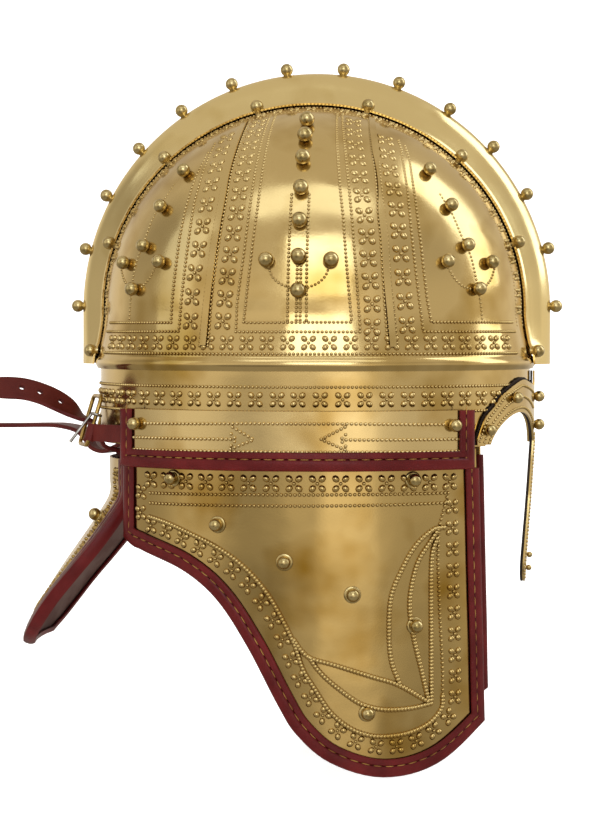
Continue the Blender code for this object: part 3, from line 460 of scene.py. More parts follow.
def bowl_side(forward, height):
    """Point of the right half bowl by its place as seen from the side."""
    if height > WAIST_HEIGHT:
        depth = 1 - (forward / WAIST_X) ** 2 - ((height - WAIST_HEIGHT) / DOME_RISE) ** 2
        return Vector((forward, -WAIST_Y * math.sqrt(max(depth, 0.001)), height))
    x, y = bowl_axes(height)
    return Vector((forward, -y * math.sqrt(max(1 - (forward / x) ** 2, 0.001)), height))


def crest_line(turn, across=0.0):
    below = max(0.0, -turn, turn - math.pi) * (DOME_RISE + RIDGE_HEIGHT)
    if below:
        x, y = bowl_axes(WAIST_HEIGHT - below)
        x = math.copysign(x, math.cos(turn)) * math.sqrt(1 - (across / y) ** 2)
        return Vector((x, across, WAIST_HEIGHT - below))
    level = math.sqrt(1 - (across / WAIST_Y) ** 2)
    height = WAIST_HEIGHT + DOME_RISE * math.sin(turn) * level
    return Vector((WAIST_X * math.cos(turn) * level, across, height))


def crest_side(run, across):
    """Point of the bowl beside the ridge, by the share of a half turn from the rear and the distance left."""
    return crest_line(math.pi * (1 - run), across)


def ridge_top(turn):
    reach = RIM_LENGTH / 2 + RIDGE_PROUD
    rise = DOME_RISE + RIDGE_HEIGHT
    below = max(0.0, -turn, turn - math.pi) * rise
    if below:
        return Vector((math.copysign(reach, math.cos(turn)), 0, WAIST_HEIGHT - below))
    return Vector((reach * math.cos(turn), 0, WAIST_HEIGHT + rise * math.sin(turn)))


def ridge_point(turn, across, rise):
    base = crest_line(turn, across)
    ray = ridge_top(turn) - crest_line(turn)
    over_roll = 1 - min(max((base.z - BAND_HEIGHT - ROLL_HEIGHT) / ROLL_HEIGHT, 0), 1)
    flange = SHEET + SEAT_GAP + ROLL_BULGE * over_roll
    return base + ray.normalized() * (flange + (ray.length - flange) * rise)


def strap_point(out, height, forward=0.0):
    sine = STRAP_SIDE / (RIM_WIDTH / 2)
    cosine = math.sqrt(1 - sine**2)
    normal = Vector((-RIM_WIDTH * cosine, -RIM_LENGTH * sine, 0)).normalized()
    seat = Vector((-RIM_LENGTH / 2 * cosine, -STRAP_SIDE, height))
    return seat + normal * out + Vector((-normal.y, normal.x, 0)) * forward


# Finishes


def linear(colour):
    """Linear red, green, blue and alpha of an sRGB hex colour."""
    levels = [int(colour[i : i + 2], 16) / 255 for i in (0, 2, 4)]
    return (*(v / 12.92 if v <= 0.04045 else ((v + 0.055) / 1.055) ** 2.4 for v in levels), 1)


def add_node(tree, kind, inputs=(), **settings):
    """Node with its settings; inputs gives sockets, by name or number, a value or a socket to link from."""
    node = tree.nodes.new(kind)
    for name, value in settings.items():
        setattr(node, name, value)
    for socket, value in dict(inputs).items():
        if isinstance(value, bpy.types.NodeSocket):
            tree.links.new(value, node.inputs[socket])
        else:
            node.inputs[socket].default_value = value
    return node


def new_finish(name):
    """Empty material with its tree, shader and object coordinates in metres."""
    material = bpy.data.materials.new(name)
    material.use_nodes = True
    tree = material.node_tree
    shader = tree.nodes["Principled BSDF"]
    place = add_node(tree, "ShaderNodeTexCoord").outputs["Object"]
    return material, tree, shader, place


def tinted(tree, mask, low, high, first, second):
    """Colour that goes from the first to the second as the mask goes from low to high."""
    share = add_node(tree, "ShaderNodeMapRange", {"Value": mask, "From Min": low, "From Max": high})
    colours = {"Factor": share.outputs["Result"], 6: first, 7: second}
    return add_node(tree, "ShaderNodeMix", colours, data_type="RGBA").outputs[2]


def rubbed(tree, shader, mask, gloss, spread):
    """Roughness that goes from gloss up by the spread with the mask."""
    span = {"Value": mask, "From Min": 0.3, "From Max": 0.7, "To Min": gloss, "To Max": gloss + spread}
    rough = add_node(tree, "ShaderNodeMapRange", span)
    tree.links.new(rough.outputs["Result"], shader.inputs["Roughness"])


def uneven(tree, shader, layers):
    """Fine relief in layers of (height, strength, depth), each on the one before."""
    below = {}
    for height, strength, depth in layers:
        layer = {"Height": height, "Strength": strength, "Distance": depth, **below}
        below = {"Normal": add_node(tree, "ShaderNodeBump", layer).outputs["Normal"]}
    tree.links.new(below["Normal"], shader.inputs["Normal"])


def beaten_brass(name, clean, stained, recess_shade_and_tarnish, gloss, stain_from):
    """Beaten, punched and polished sheet brass: clear but uneven reflections, brown stains, and painted shade
    with tarnish round the relief.
    """
    material, tree, shader, place = new_finish(name)
    # Stains are 30 to 60 mm across
    cloud = {"Vector": place, "Scale": 19.0, "Detail": 3.0, "Roughness": 0.6}
    cloud = add_node(tree, "ShaderNodeTexNoise", cloud).outputs["Fac"]
    colour = tinted(tree, cloud, stain_from, stain_from + 0.22, linear(clean), linear(stained))
    # Within about 1.5 mm of a bead or stud the colour darkens to the recess colour: painted shade round the
    # relief, which also stands for tarnish where polish doesn't reach
    shade = add_node(tree, "ShaderNodeAmbientOcclusion", {"Distance": 0.0016}, samples=4)
    colour = tinted(tree, shade.outputs["AO"], 0.72, 0.2, colour, linear(recess_shade_and_tarnish))
    tree.links.new(colour, shader.inputs["Base Color"])
    # Patches about 20 mm across are rubbed duller
    rub = add_node(tree, "ShaderNodeTexNoise", {"Vector": place, "Scale": 45.0, "Detail": 4.0})
    rubbed(tree, shader, rub.outputs["Fac"], gloss, 0.13)
    # Marks of the hammer are 17 mm across; polishing scratches are drawn 1 mm apart, coarse enough to show
    marks = add_node(tree, "ShaderNodeTexNoise", {"Vector": place, "Scale": 60.0, "Detail": 1.0})
    scratches = add_node(tree, "ShaderNodeTexNoise", {"Vector": place, "Scale": 900.0, "Detail": 2.0})
    uneven(tree, shader, [(marks.outputs["Fac"], 0.35, 0.0006), (scratches.outputs["Fac"], 0.12, 0.0001)])
    shader.inputs["Metallic"].default_value = 1.0
    return material


def dyed_leather(name, face, worn, gloss, grain):
    """Dyed cowhide: fine pebbled grain, rubbed lighter in patches of about 18 mm, with painted shade in its
    grooves.
    """
    material, tree, shader, place = new_finish(name)
    patch = add_node(tree, "ShaderNodeTexNoise", {"Vector": place, "Scale": 55.0, "Detail": 4.0})
    patch = patch.outputs["Fac"]
    colour = tinted(tree, patch, 0.35, 0.75, linear(face), linear(worn))
    # Grooves and folds within 2 mm darken towards near black: painted shade
    shade = add_node(tree, "ShaderNodeAmbientOcclusion", {"Distance": 0.002}, samples=4)
    colour = tinted(tree, shade.outputs["AO"], 0.75, 0.3, colour, linear("1C0806"))
    tree.links.new(colour, shader.inputs["Base Color"])
    rubbed(tree, shader, patch, gloss, 0.15)
    # Pebbles are about 0.8 mm across, and creases 6 mm apart
    pebbles = add_node(tree, "ShaderNodeTexVoronoi", {"Vector": place, "Scale": grain})
    creases = add_node(tree, "ShaderNodeTexNoise", {"Vector": place, "Scale": 160.0, "Detail": 3.0})
    uneven(tree, shader, [(pebbles.outputs["Distance"], 0.35, 0.0002), (creases.outputs["Fac"], 0.4, 0.0004)])
    shader.inputs["Specular IOR Level"].default_value = 0.18
    return material


def plain_metal(name, colour, dull, gloss):
    """Drawn or turned metal with thin tarnish in patches of 4 to 5 mm."""
    material, tree, shader, place = new_finish(name)
    patch = add_node(tree, "ShaderNodeTexNoise", {"Vector": place, "Scale": 220.0, "Detail": 3.0})
    colour = tinted(tree, patch.outputs["Fac"], 0.4, 0.75, linear(colour), linear(dull))
    tree.links.new(colour, shader.inputs["Base Color"])
    shader.inputs["Metallic"].default_value = 1.0
    shader.inputs["Roughness"].default_value = gloss
    uneven(tree, shader, [(patch.outputs["Fac"], 0.15, 0.0002)])
    return material


# Sheet brass: a warm yellow mirror, uneven from the hammer; its colours are clean, stained, and painted shade
# with tarnish round the relief
BOWL_BRASS = beaten_brass("beaten_brass_bowl", "D0B57A", "A8863E", "644818", 0.09, 0.50)
# The cheek pieces are more tarnished
CHEEK_BRASS = beaten_brass("beaten_brass_cheek", "C2A66A", "A07A2C", "5A3E14", 0.09, 0.45)
# The plates and the ridge get paler colours than the bowl; on the ridge the paler colour is painted light,
# for the bright light that it catches
PLATE_BRASS = beaten_brass("beaten_brass_plate", "DEC48A", "B8944C", "6A4E20", 0.12, 0.50)
LIT_RIDGE_BRASS = beaten_brass("polished_brass_ridge", "E2CA8E", "C8AA62", "6A5424", 0.11, 0.58)
# Studs of turned brass have small soft highlights and tarnish, and drawn wire looks browner
STUD_BRASS = plain_metal("turned_brass_studs", "C8B27C", "98824C", 0.24)
WIRE_BRASS = plain_metal("drawn_brass_wire", "C2A15A", "7E6330", 0.30)
# Tinned steel wire of the prongs looks grey and cold beside the brass
PRONG_STEEL = plain_metal("tinned_steel_wire", "B9B4AA", "7C766C", 0.32)
# Oiled leather of the edgings is a deep wine red with a soft sheen; the straps are a little duller
RED_LEATHER = dyed_leather("red_edging_leather", "4A0C0C", "641413", 0.30, 1200.0)
STRAP_RED = dyed_leather("red_strap_leather", "4A100D", "602018", 0.38, 1000.0)
# Unpolished flesh side and dark backing scatter the light and show no highlights
BROWN_SUEDE = dyed_leather("brown_lining_suede", "4E352E", "625048", 0.75, 1500.0)
DARK_LEATHER = dyed_leather("dark_backing_leather", "1E1712", "3A2E26", 0.65, 900.0)
# Waxed linen thread looks bronze against the red
GOLD_THREAD = dyed_leather("golden_linen_thread", "74481F", "A87E40", 0.6, 2500.0)


# Pieces


def keep(piece, finish, slot, nodes=()):
    """Gives a piece its finish and its body, and hides the nodes it stands for."""
    piece.data.materials.clear()
    piece.data.materials.append(finish)
    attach(piece, "root")
    if nodes:
        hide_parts(*nodes)


def placed(name, data):
    """Object of the scene with that data."""
    thing = bpy.data.objects.new(name, data)
    bpy.context.scene.collection.objects.link(thing)
    return thing


def bmesh_piece(name, shape):
    mesh = bpy.data.meshes.new(name)
    shape.to_mesh(mesh)
    shape.free()
    return placed(name, mesh)


def settle(piece, crease=40):
    """Applies a piece's modifiers and shades it smooth, with edges above crease degrees kept sharp."""
    bpy.context.view_layer.update()
    mesh = bpy.data.meshes.new_from_object(piece.evaluated_get(bpy.context.evaluated_depsgraph_get()))
    piece.modifiers.clear()
    old = piece.data
    piece.data = mesh
    bpy.data.meshes.remove(old)
    mesh.name = piece.name
    mesh.shade_smooth()
    mesh.set_sharp_from_angle(angle=math.radians(crease))
    return piece


def left_copy(piece):
    """The same piece on the left side, with its faces turned the right way out."""
    shape = bmesh.new()
    shape.from_mesh(piece.data)
    for vertex in shape.verts:
        vertex.co.y *= -1
    bmesh.ops.reverse_faces(shape, faces=shape.faces)
    return bmesh_piece(piece.name.replace("right", "left"), shape)


def pair(piece, finish, slot, node=None):
    """Keeps a right-hand piece and its copy on the left; node is the right-hand node they stand for."""
    twin = left_copy(piece)
    keep(piece, finish, slot, [node] if node else ())
    keep(twin, finish, slot, [node.replace("right", "left")] if node else ())


def sheet_grid(columns, rows, place, cap_ends=False):
    """Grid whose point (u, v), each 0 to 1, is moved to place(u, v); edges that meet are joined."""
    shape = bmesh.new()
    bmesh.ops.create_grid(shape, x_segments=columns, y_segments=rows, size=0.5)
    for vertex in shape.verts:
        vertex.co = place(vertex.co.x + 0.5, vertex.co.y + 0.5)
    bmesh.ops.remove_doubles(shape, verts=shape.verts, dist=1e-6)
    if cap_ends:
        bmesh.ops.holes_fill(shape, edges=[edge for edge in shape.edges if edge.is_boundary])
        bmesh.ops.recalc_face_normals(shape, faces=shape.faces)
    return shape


def pick(table, share):
    return table[round(share * (len(table) - 1))]


def walled(name, shape, thickness):
    """Sheet whose outer face is the given shape."""
    piece = bmesh_piece(name, shape)
    wall = piece.modifiers.new("wall", "SOLIDIFY")
    wall.thickness = thickness
    wall.offset = -1
    return settle(piece)


def cut_sheet(name, outline, place, out, thickness, step=SHEET_STEP):
    """Sheet cut to a flat outline and bent by place(first, second, out), with its outer face that far out."""
    shape = bmesh.new()
    corners = [shape.verts.new((first, second, 0)) for first, second in outline]
    rim = [shape.edges.new(ends) for ends in zip(corners, corners[1:] + corners[:1])]
    bmesh.ops.contextual_create(shape, geom=rim)
    for axis in (0, 1):
        low = min(point[axis] for point in outline)
        high = max(point[axis] for point in outline)
        count = math.ceil((high - low) / step)
        side = Vector((1 - axis, axis, 0))
        for i in range(1, count):
            middle = side * (low + (high - low) * i / count)
            geometry = shape.verts[:] + shape.edges[:] + shape.faces[:]
            bmesh.ops.bisect_plane(shape, geom=geometry, dist=1e-6, plane_co=middle, plane_no=side)
    bmesh.ops.triangulate(shape, faces=[face for face in shape.faces if len(face.verts) > 4])
    back = bmesh.ops.extrude_face_region(shape, geom=shape.faces[:], use_keep_orig=True)["geom"]
    inner = {element for element in back if isinstance(element, bmesh.types.BMVert)}
    for vertex in shape.verts:
        vertex.co = place(vertex.co.x, vertex.co.y, out - thickness if vertex in inner else out)
    bmesh.ops.recalc_face_normals(shape, faces=shape.faces)
    return settle(bmesh_piece(name, shape))


# Punched relief


def seat_on(place, first, second):
    """Point of a sheet with its outward normal and its first direction."""
    step = 1e-4
    along = place(first + step, second) - place(first - step, second)
    up = place(first, second + step) - place(first, second - step)
    return place(first, second), along.cross(up).normalized(), along.normalized()


def trail(place, line, pitch):
    """Places at even distances along a line on a sheet, each with the line's direction there."""
    flats = []
    for a, b in zip(line, line[1:]):
        a, b = Vector(a), Vector(b)
        count = max(1, math.ceil((place(*a) - place(*b)).length / 0.0004))
        flats += [a.lerp(b, i / count) for i in range(count)]
    flats.append(Vector(line[-1]))
    points = [place(*flat) for flat in flats]
    reach = np.concatenate([[0], np.cumsum([(q - p).length for p, q in zip(points, points[1:])])])
    count = max(1, round(reach[-1] / pitch))
    found = []
    for mark in np.linspace(0, reach[-1], count + 1):
        i = min(int(np.searchsorted(reach, mark, side="right")) - 1, len(flats) - 2)
        share = (mark - reach[i]) / max(reach[i + 1] - reach[i], 1e-9)
        found.append((flats[i].lerp(flats[i + 1], share), (points[i + 1] - points[i]).normalized()))
    return found


def laid(line, smooth, unit=MM):
    """Line in metres, smoothed with that many pieces to a span where smooth isn't 0."""
    line = [(first * unit, second * unit) for first, second in line]
    return smooth_line(line, smooth) if smooth else line


def dome(sides, rings):
    """Vertices and faces of a small raised boss: rings of (reach, height), then its top."""
    turns = [2 * math.pi * i / sides for i in range(sides)]
    vertices = [(reach * math.cos(t), reach * math.sin(t), height) for reach, height in rings for t in turns]
    vertices.append((0, 0, 1))
    faces = []
    for ring in range(len(rings) - 1):
        for i in range(sides):
            j = (i + 1) % sides
            low, high = ring * sides, (ring + 1) * sides
            faces.append((low + i, low + j, high + j, high + i))
    last = (len(rings) - 1) * sides
    faces += [(last + i, last + (i + 1) % sides, len(vertices) - 1) for i in range(sides)]
    return np.array(vertices), faces


BOSS = dome(8, [(1.0, -0.3), (0.93, 0.24), (0.62, 0.76)])
BALL_RINGS = [(math.cos(a), math.sin(a)) for a in np.radians([-40, -20, 0, 20, 40, 60, 76])]
BALL = dome(20, [(0.55, -1.3), (0.62, -0.78)] + BALL_RINGS)
COLLAR = dome(24, [(1.0, -0.3), (1.0, 0.55), (0.93, 0.9), (0.8, 1.0)])


def punched(name, bosses, template=BOSS):
    """One mesh of bosses, each (middle, normal, along, half length, half width, height)."""
    shape, faces = template
    vertices, all_faces = [], []
    for number, (middle, normal, along, length, width, height) in enumerate(bosses):
        across = normal.cross(along)
        axes = np.array([along * length, across * width, normal * height])
        vertices.append(shape @ axes + np.array(middle))
        start = number * len(shape)
        all_faces += [tuple(start + i for i in face) for face in faces]
    mesh = bpy.data.meshes.new(name)
    mesh.from_pydata(np.concatenate(vertices).tolist(), [], all_faces)
    mesh.shade_smooth()
    return placed(name, mesh)


def beads(place, line, kind=BEADS, smooth=0, unit=MM):
    """Row of punched beads along a line in millimetres, or in the given unit, smoothed as in laid."""
    pitch, radius, height = kind
    found = []
    for flat, direction in trail(place, laid(line, smooth, unit), pitch):
        middle, normal, _ = seat_on(place, *flat)
        found.append((middle, normal, direction, radius, radius, height))
    return found


def rosettes(place, line, kind, smooth=0, unit=MM):
    """Row of rosettes along such a line, each of four petals in a cross of diagonals round a dot."""
    pitch, size = kind
    found = []
    for flat, direction in trail(place, laid(line, smooth, unit), pitch):
        middle, normal, _ = seat_on(place, *flat)
        along = (direction - normal * direction.dot(normal)).normalized()
        across = normal.cross(along)
        found.append((middle, normal, along, size * DOT[0], size * DOT[0], size * DOT[1]))
        distance, length, width, height = (size * share for share in PETAL)
        for corner in range(4):
            angle = math.radians(45 + 90 * corner)
            petal = along * math.cos(angle) + across * math.sin(angle)
            found.append((middle + petal * distance, normal, petal, length, width, height))
    return found


def studs(name, seats, radius):
    """Ball studs on short necks."""
    bosses = []
    for middle, normal in seats:
        along = normal.orthogonal().normalized()
        bosses.append((middle + normal * radius * STUD_NECK, normal, along, radius, radius, radius))
    return punched(name, bosses, BALL)


def knobs(name, seats, radius, collar):
    """Ball studs, each on a low round collar of that radius."""
    bosses = []
    for middle, normal in seats:
        bosses.append((middle, normal, normal.orthogonal().normalized(), collar, collar, COLLAR_HEIGHT))
    shape = bmesh.new()
    for piece in (studs(name, seats, radius), punched("collars", bosses, COLLAR)):
        shape.from_mesh(piece.data)
        bpy.data.objects.remove(piece, do_unlink=True)
    joined = bmesh_piece(name, shape)
    joined.data.shade_smooth()
    return joined


# Bowl and ridge


def make_bowl():
    roll_top = BAND_HEIGHT + ROLL_HEIGHT
    rows = [(BAND_HEIGHT + ROLL_HEIGHT * i / 12, 0.0) for i in range(13)]
    rows += [(roll_top + (WAIST_HEIGHT - roll_top) * i / 8, 0.0) for i in range(1, 9)]
    rows += [(WAIST_HEIGHT, math.radians(90 * i / 48)) for i in range(1, 49)]

    def place(u, v):
        return bowl_point(math.pi * (1 - u), *pick(rows, v))

    half = walled("half_bowl_right", sheet_grid(RIM_COLUMNS // 2, len(rows) - 1, place), SHEET)
    pair(half, BOWL_BRASS, "brass", "bowl_right")

    bosses = []
    for line in REAR_SEAM + FRONT_SEAM:
        bosses += beads(bowl_side, line, SEAM_BEADS, 6)
    for line in REAR_PANEL + MIDDLE_PANEL + FRONT_PANEL + STRIP_LINES + [FOOT_LINE]:
        bosses += beads(bowl_side, line)
    for line in STUD_ARCS:
        bosses += beads(bowl_side, line, ARC_BEADS, 6)
    for line in ROSETTE_COLUMNS:
        bosses += rosettes(bowl_side, line, COLUMN_ROSETTES, 4)
    bosses += rosettes(bowl_side, FRIEZE, FRIEZE_ROSETTES)
    worn = []
    for *seat, height in bosses:
        wear = WEAR * min(max((seat[0].z - WEAR_START) / WEAR_RISE, 0), 1)
        worn.append((*seat, height * (1 - wear)))
    for row in CREST_BEAD_ROWS:
        line = [(share, row) for share in np.linspace(-0.02, 1.02, 60)]
        worn += beads(crest_side, line, CREST_BEADS, unit=1)
    line = [(share, CREST_ROSETTE_ROW) for share in np.linspace(0.0, 1.0, 60)]
    worn += rosettes(crest_side, line, CREST_ROSETTES, unit=1)
    pair(punched("bowl_relief_right", worn), BOWL_BRASS, "brass")

    for name, (rear, front) in (("rear_seam_right", REAR_SEAM), ("front_seam_right", FRONT_SEAM)):
        edges = [laid(line, 8) for line in (rear, front)]

        def strip(u, v):
            a, b = (Vector(np.array(edge)[round(u * (len(edge) - 1))]) for edge in edges)
            flat = (a + b) / 2 + (b - a).normalized() * SEAM_WIDTH * MM * (v - 0.5)
            middle, normal, _ = seat_on(bowl_side, flat.x, flat.y)
            return middle + normal * SEAM_RISE

        seam = walled(name, sheet_grid(len(edges[0]) - 1, 3, strip), SEAM_SHEET)
        pair(seam, BOWL_BRASS, "brass")
    for name, radius, table in (
        ("middle_studs_right", PANEL_STUD, MIDDLE_STUDS),
        ("end_studs_right", SMALL_PANEL_STUD, END_STUDS + [(180 - turn, lift) for turn, lift in END_STUDS]),
    ):
        seats = []
        for turn, lift in table:
            turn, lift = math.radians(turn), math.radians(lift)
            flat = (math.cos(turn) * math.cos(lift) / WAIST_X, -math.sin(turn) * math.cos(lift) / WAIST_Y)
            normal = Vector((*flat, math.sin(lift) / DOME_RISE)).normalized()
            seats.append((bowl_point(turn, WAIST_HEIGHT, lift), normal))
        pair(studs(name, seats, radius), STUD_BRASS, "brass")


def make_ridge():
    overrun = (WAIST_HEIGHT - RIDGE_END) / (DOME_RISE + RIDGE_HEIGHT)
    section = smooth_line(RIDGE_SECTION, 3)

    def place(u, v):
        turn = math.pi + overrun - u * (math.pi + 2 * overrun)
        across, rise = pick(section, v)
        return ridge_point(turn, across * RIDGE_HALF_WIDTH, rise)

    shape = sheet_grid(RIDGE_COLUMNS, len(section) - 1, place)
    keep(walled("crest_ridge", shape, SHEET), LIT_RIDGE_BRASS, "brass", ["ridge"])
    seats = []
    for degrees in FLANGE_STUD_TURNS:
        turn = math.radians(degrees)
        for side in (-1, 1):
            seat = ridge_point(turn, side * (RIDGE_HALF_WIDTH - FLANGE_STUD_INSET), 0.0)
            seats.append((seat, (ridge_top(turn) - crest_line(turn)).normalized()))
    keep(studs("ridge_flange_studs", seats, FLANGE_STUD), STUD_BRASS, "brass")
    seats = []
    for number in range(CREST_STUDS):
        turn = math.pi * (1 - (number + CREST_STUD_FIRST) / CREST_STUD_SPANS)
        ray = (ridge_top(turn) - crest_line(turn)).normalized()
        seats.append((ridge_top(turn) + ray * GAP, ray))
    nodes = [f"crest_stud_{number + 1:02d}" for number in range(CREST_STUDS)]
    keep(studs("crest_studs", seats, CREST_STUD), STUD_BRASS, "brass", nodes)


# Brow band and brow guard


def make_brow_band():
    levels = [BAND_HEIGHT * i / 10 for i in range(11)]
    levels += [BAND_HEIGHT + BAND_TUCK * i / 3 for i in range(1, 4)]

    def place(u, v):
        height = pick(levels, v)
        tuck = 0.0
        if height > BAND_HEIGHT:
            tuck = RIM_LENGTH / 2 - (bowl_axes(height)[0] - SHEET - SEAT_GAP)
        angle = math.pi * (2 * u - 1)
        # The eye openings are cut a little above the guard's arches, which cover their edge
        left = float(np.interp(abs(angle), ANGLES, LENGTHS))
        opening = eye_rise(left) + BAND_CLEARANCE if eye_rise(left) else 0.0
        if height < BAND_HEIGHT:
            height = max(height, opening + height * (1 - opening / BAND_HEIGHT))
        x, y = RIM_LENGTH / 2 - tuck, RIM_WIDTH / 2 - tuck
        return Vector((x * math.cos(angle), y * math.sin(angle), height))

    band = walled("brow_band_sheet", sheet_grid(RIM_COLUMNS, len(levels) - 1, place), SHEET)
    keep(band, BOWL_BRASS, "brass", ["brow_band"])
    # The rows stop before the end of the round, so that they don't double where they close
    whole = ROUND * 1000
    turns = [share * whole / 64 for share in range(64)]
    bosses = []
    for level in BAND_LINES:
        bosses += beads(side_point, [(along, level) for along in [*turns, whole - BAND_ROW_GAP]])
    bosses += rosettes(side_point, [(along, BAND_ROSETTE_LEVEL) for along in turns], BAND_ROSETTES)
    keep(punched("brow_band_relief", bosses), BOWL_BRASS, "brass")


def eye_rise(left):
    """Height of the eye arches' edge that far left of the middle."""
    share = (abs(left) - EYE_SPACING / 2) / (EYE_ARCH_WIDTH / 2)
    if abs(share) >= 1:
        return 0.0
    return BROW_END + EYE_ARCH_HEIGHT * (1 - share**2) ** (ARCH_SQUARENESS / 2)


def guard_outline(spread):
    """Half of the guard's outline on the left, from the middle of the top down to the nasal's foot."""
    top = [(0.0, TAB_HEIGHT), (TAB_HALF_WIDTH, TAB_HEIGHT), (TAB_HALF_WIDTH, BROW_EDGE[0][1] * BROW_HEIGHT)]
    edge = []
    for p in smooth_line(BROW_EDGE, 12 if spread else 6):
        ragged = spread * (1 + 0.8 * noise.noise(Vector((p.x * 40, 0.3, 0)))) if spread else 0.0
        edge.append((p.x * BROW_REACH, p.y * BROW_HEIGHT + ragged))
    arch = []
    for i in range(32):
        left = EYE_SPACING / 2 + EYE_ARCH_WIDTH / 2 * math.cos(math.pi * i / 32)
        arch.append((left, max(eye_rise(left), BROW_END)))
    foot = [(p.x, p.y) for p in smooth_line([(NASAL_FOOT * w, -NASAL_DROP * d) for w, d in NASAL_EDGE], 5)]
    return [*top, *edge, (BROW_REACH, BROW_END), *arch, *foot]


def make_brow_guard():
    out = GAP + LINING + GAP + SHEET
    for name, spread, level, thickness, finish, slot, node in (
        ("guard_lining", FRINGE, GAP + LINING, LINING, DARK_LEATHER, "dark_leather", "brow_guard_lining"),
        ("guard_plate", 0.0, out, SHEET, BOWL_BRASS, "brass", "brow_guard"),
    ):
        half = guard_outline(spread)
        outline = half[1:] + [(-left, height) for left, height in reversed(half[1:])]
        keep(cut_sheet(name, outline, guard_point, level, thickness), finish, slot, [node])

    def place(left, height):
        return guard_point(left, height, out)

    seats, rivets = [], []
    for left, height in BROW_STUDS:
        for side in (-1, 1) if left else (1,):
            seats.append(seat_on(place, side * left, height)[:2])
    for left, height in NASAL_RIVETS:
        rivets.append(seat_on(place, left, height)[:2])
    keep(studs("brow_studs", seats, BROW_STUD), STUD_BRASS, "brass")
    keep(studs("nasal_rivets", rivets, NASAL_RIVET), STUD_BRASS, "brass")

    bosses = []
    for side in (-1, 1):
        for inset in GUARD_BEAD_ROWS:
            line = []
            for share in np.linspace(0, 1, 40):
                angle = math.pi * (0.035 + 0.80 * share)
                low = Vector((EYE_SPACING / 2 + EYE_ARCH_WIDTH / 2 * math.cos(angle), 0))
                low.y = eye_rise(low.x)
                reach = 1.0 - 0.82 * share
                high = Vector((reach * BROW_REACH, 0))
                high.y = float(np.interp(reach, *zip(*BROW_EDGE))) * BROW_HEIGHT
                point = low.lerp(high, inset)
                line.append((side * point.x, point.y))
            bosses += beads(place, line, GUARD_BEADS, unit=1)
        line = [(side * NASAL_BEAD_TOP[0], NASAL_BEAD_TOP[1])]
        line += [(side * (NASAL_FOOT * w - NASAL_BEAD_INSET), -NASAL_DROP * d) for w, d in NASAL_EDGE[:4]]
        bosses += beads(place, line, GUARD_BEADS, 4, unit=1)
    keep(punched("brow_guard_relief", bosses), BOWL_BRASS, "brass")


# Leather edgings


def refine(path, step=PATH_STEP):
    fine = [Vector(path[0])]
    for start, end in zip(path, path[1:]):
        start, end = Vector(start), Vector(end)
        pieces = max(1, math.ceil((end - start).length / step))
        fine += [start.lerp(end, i / pieces) for i in range(1, pieces + 1)]
    return fine


def inward_steps(path):
    """Inward mitre at each point of a path that has the sheet on its left."""
    steps = []
    for i, point in enumerate(path):
        sides = []
        if i > 0:
            sides.append((point - path[i - 1]).normalized())
        if i < len(path) - 1:
            sides.append((path[i + 1] - point).normalized())
        normals = [Vector((-side.y, side.x)) for side in sides]
        middle = sum(normals, Vector((0, 0))).normalized()
        steps.append(middle / max(middle.dot(normals[0]), 0.6))
    return steps


def folded_section(base, metal, swell, inner_flap):
    """Rounded section of a folded strip with a groove for stitches: (depth from the edge, distance out)."""
    top = base + FOLD_GAP
    bottom = base - metal - FOLD_GAP
    middle = (top + bottom) / 2
    outer = top + EDGE_LEATHER
    inner = bottom - EDGE_LEATHER
    side = -GAP - EDGE_LEATHER
    return [
        (EDGE_FLAP, top),
        (EDGE_FLAP, outer - 0.0005),
        (EDGE_FLAP - 0.0004, outer - 0.0001),
        (EDGE_FLAP - 0.0014, outer),
        (0.0051, outer + 0.0001),
        (STITCH_LINE, outer - 0.0006),
        (0.0039, outer + swell * 0.6),
        (0.0028, outer + swell),
        (0.0010, outer + swell),
        (-0.0004, outer + swell * 0.2),
        (side + 0.0003, (outer + middle) / 2 + 0.0002),
        (side, middle),
        (side + 0.0003, (inner + middle) / 2 - 0.0002),
        (-0.0004, inner + 0.0001),
        (0.0010, inner),
        (inner_flap, inner),
        (inner_flap, bottom),
        (-GAP, bottom),
        (-GAP, top),
        (EDGE_FLAP, top),
    ]


def edging(name, path, place, base, metal, swell=EDGE_SWELL, inner_flap=EDGE_FLAP):
    """Leather folded over the edge along a path, and the thread of its stitches."""
    path = refine(path)
    inward = inward_steps(path)
    section = folded_section(base, metal, swell, inner_flap)

    def at(u, v):
        index = round(u * (len(path) - 1))
        depth, out = pick(section, v)
        flat = path[index] + inward[index] * depth
        return place(flat.x, flat.y, out)

    shape = sheet_grid(len(path) - 1, len(section) - 1, at, cap_ends=True)
    strip = settle(bmesh_piece(name, shape), 50)
    groove = [point + step * STITCH_LINE for point, step in zip(path, inward)]
    level = base + FOLD_GAP + EDGE_LEATHER - STITCH_SINK

    def floor(first, second):
        return place(first, second, level)

    stitches = []
    for flat, direction in trail(floor, groove, STITCH_PITCH):
        middle, normal, _ = seat_on(floor, *flat)
        stitches.append((middle, normal, direction, *STITCH))
    return strip, punched(name + "_stitches", stitches)


# Hinge plates and cheek pieces


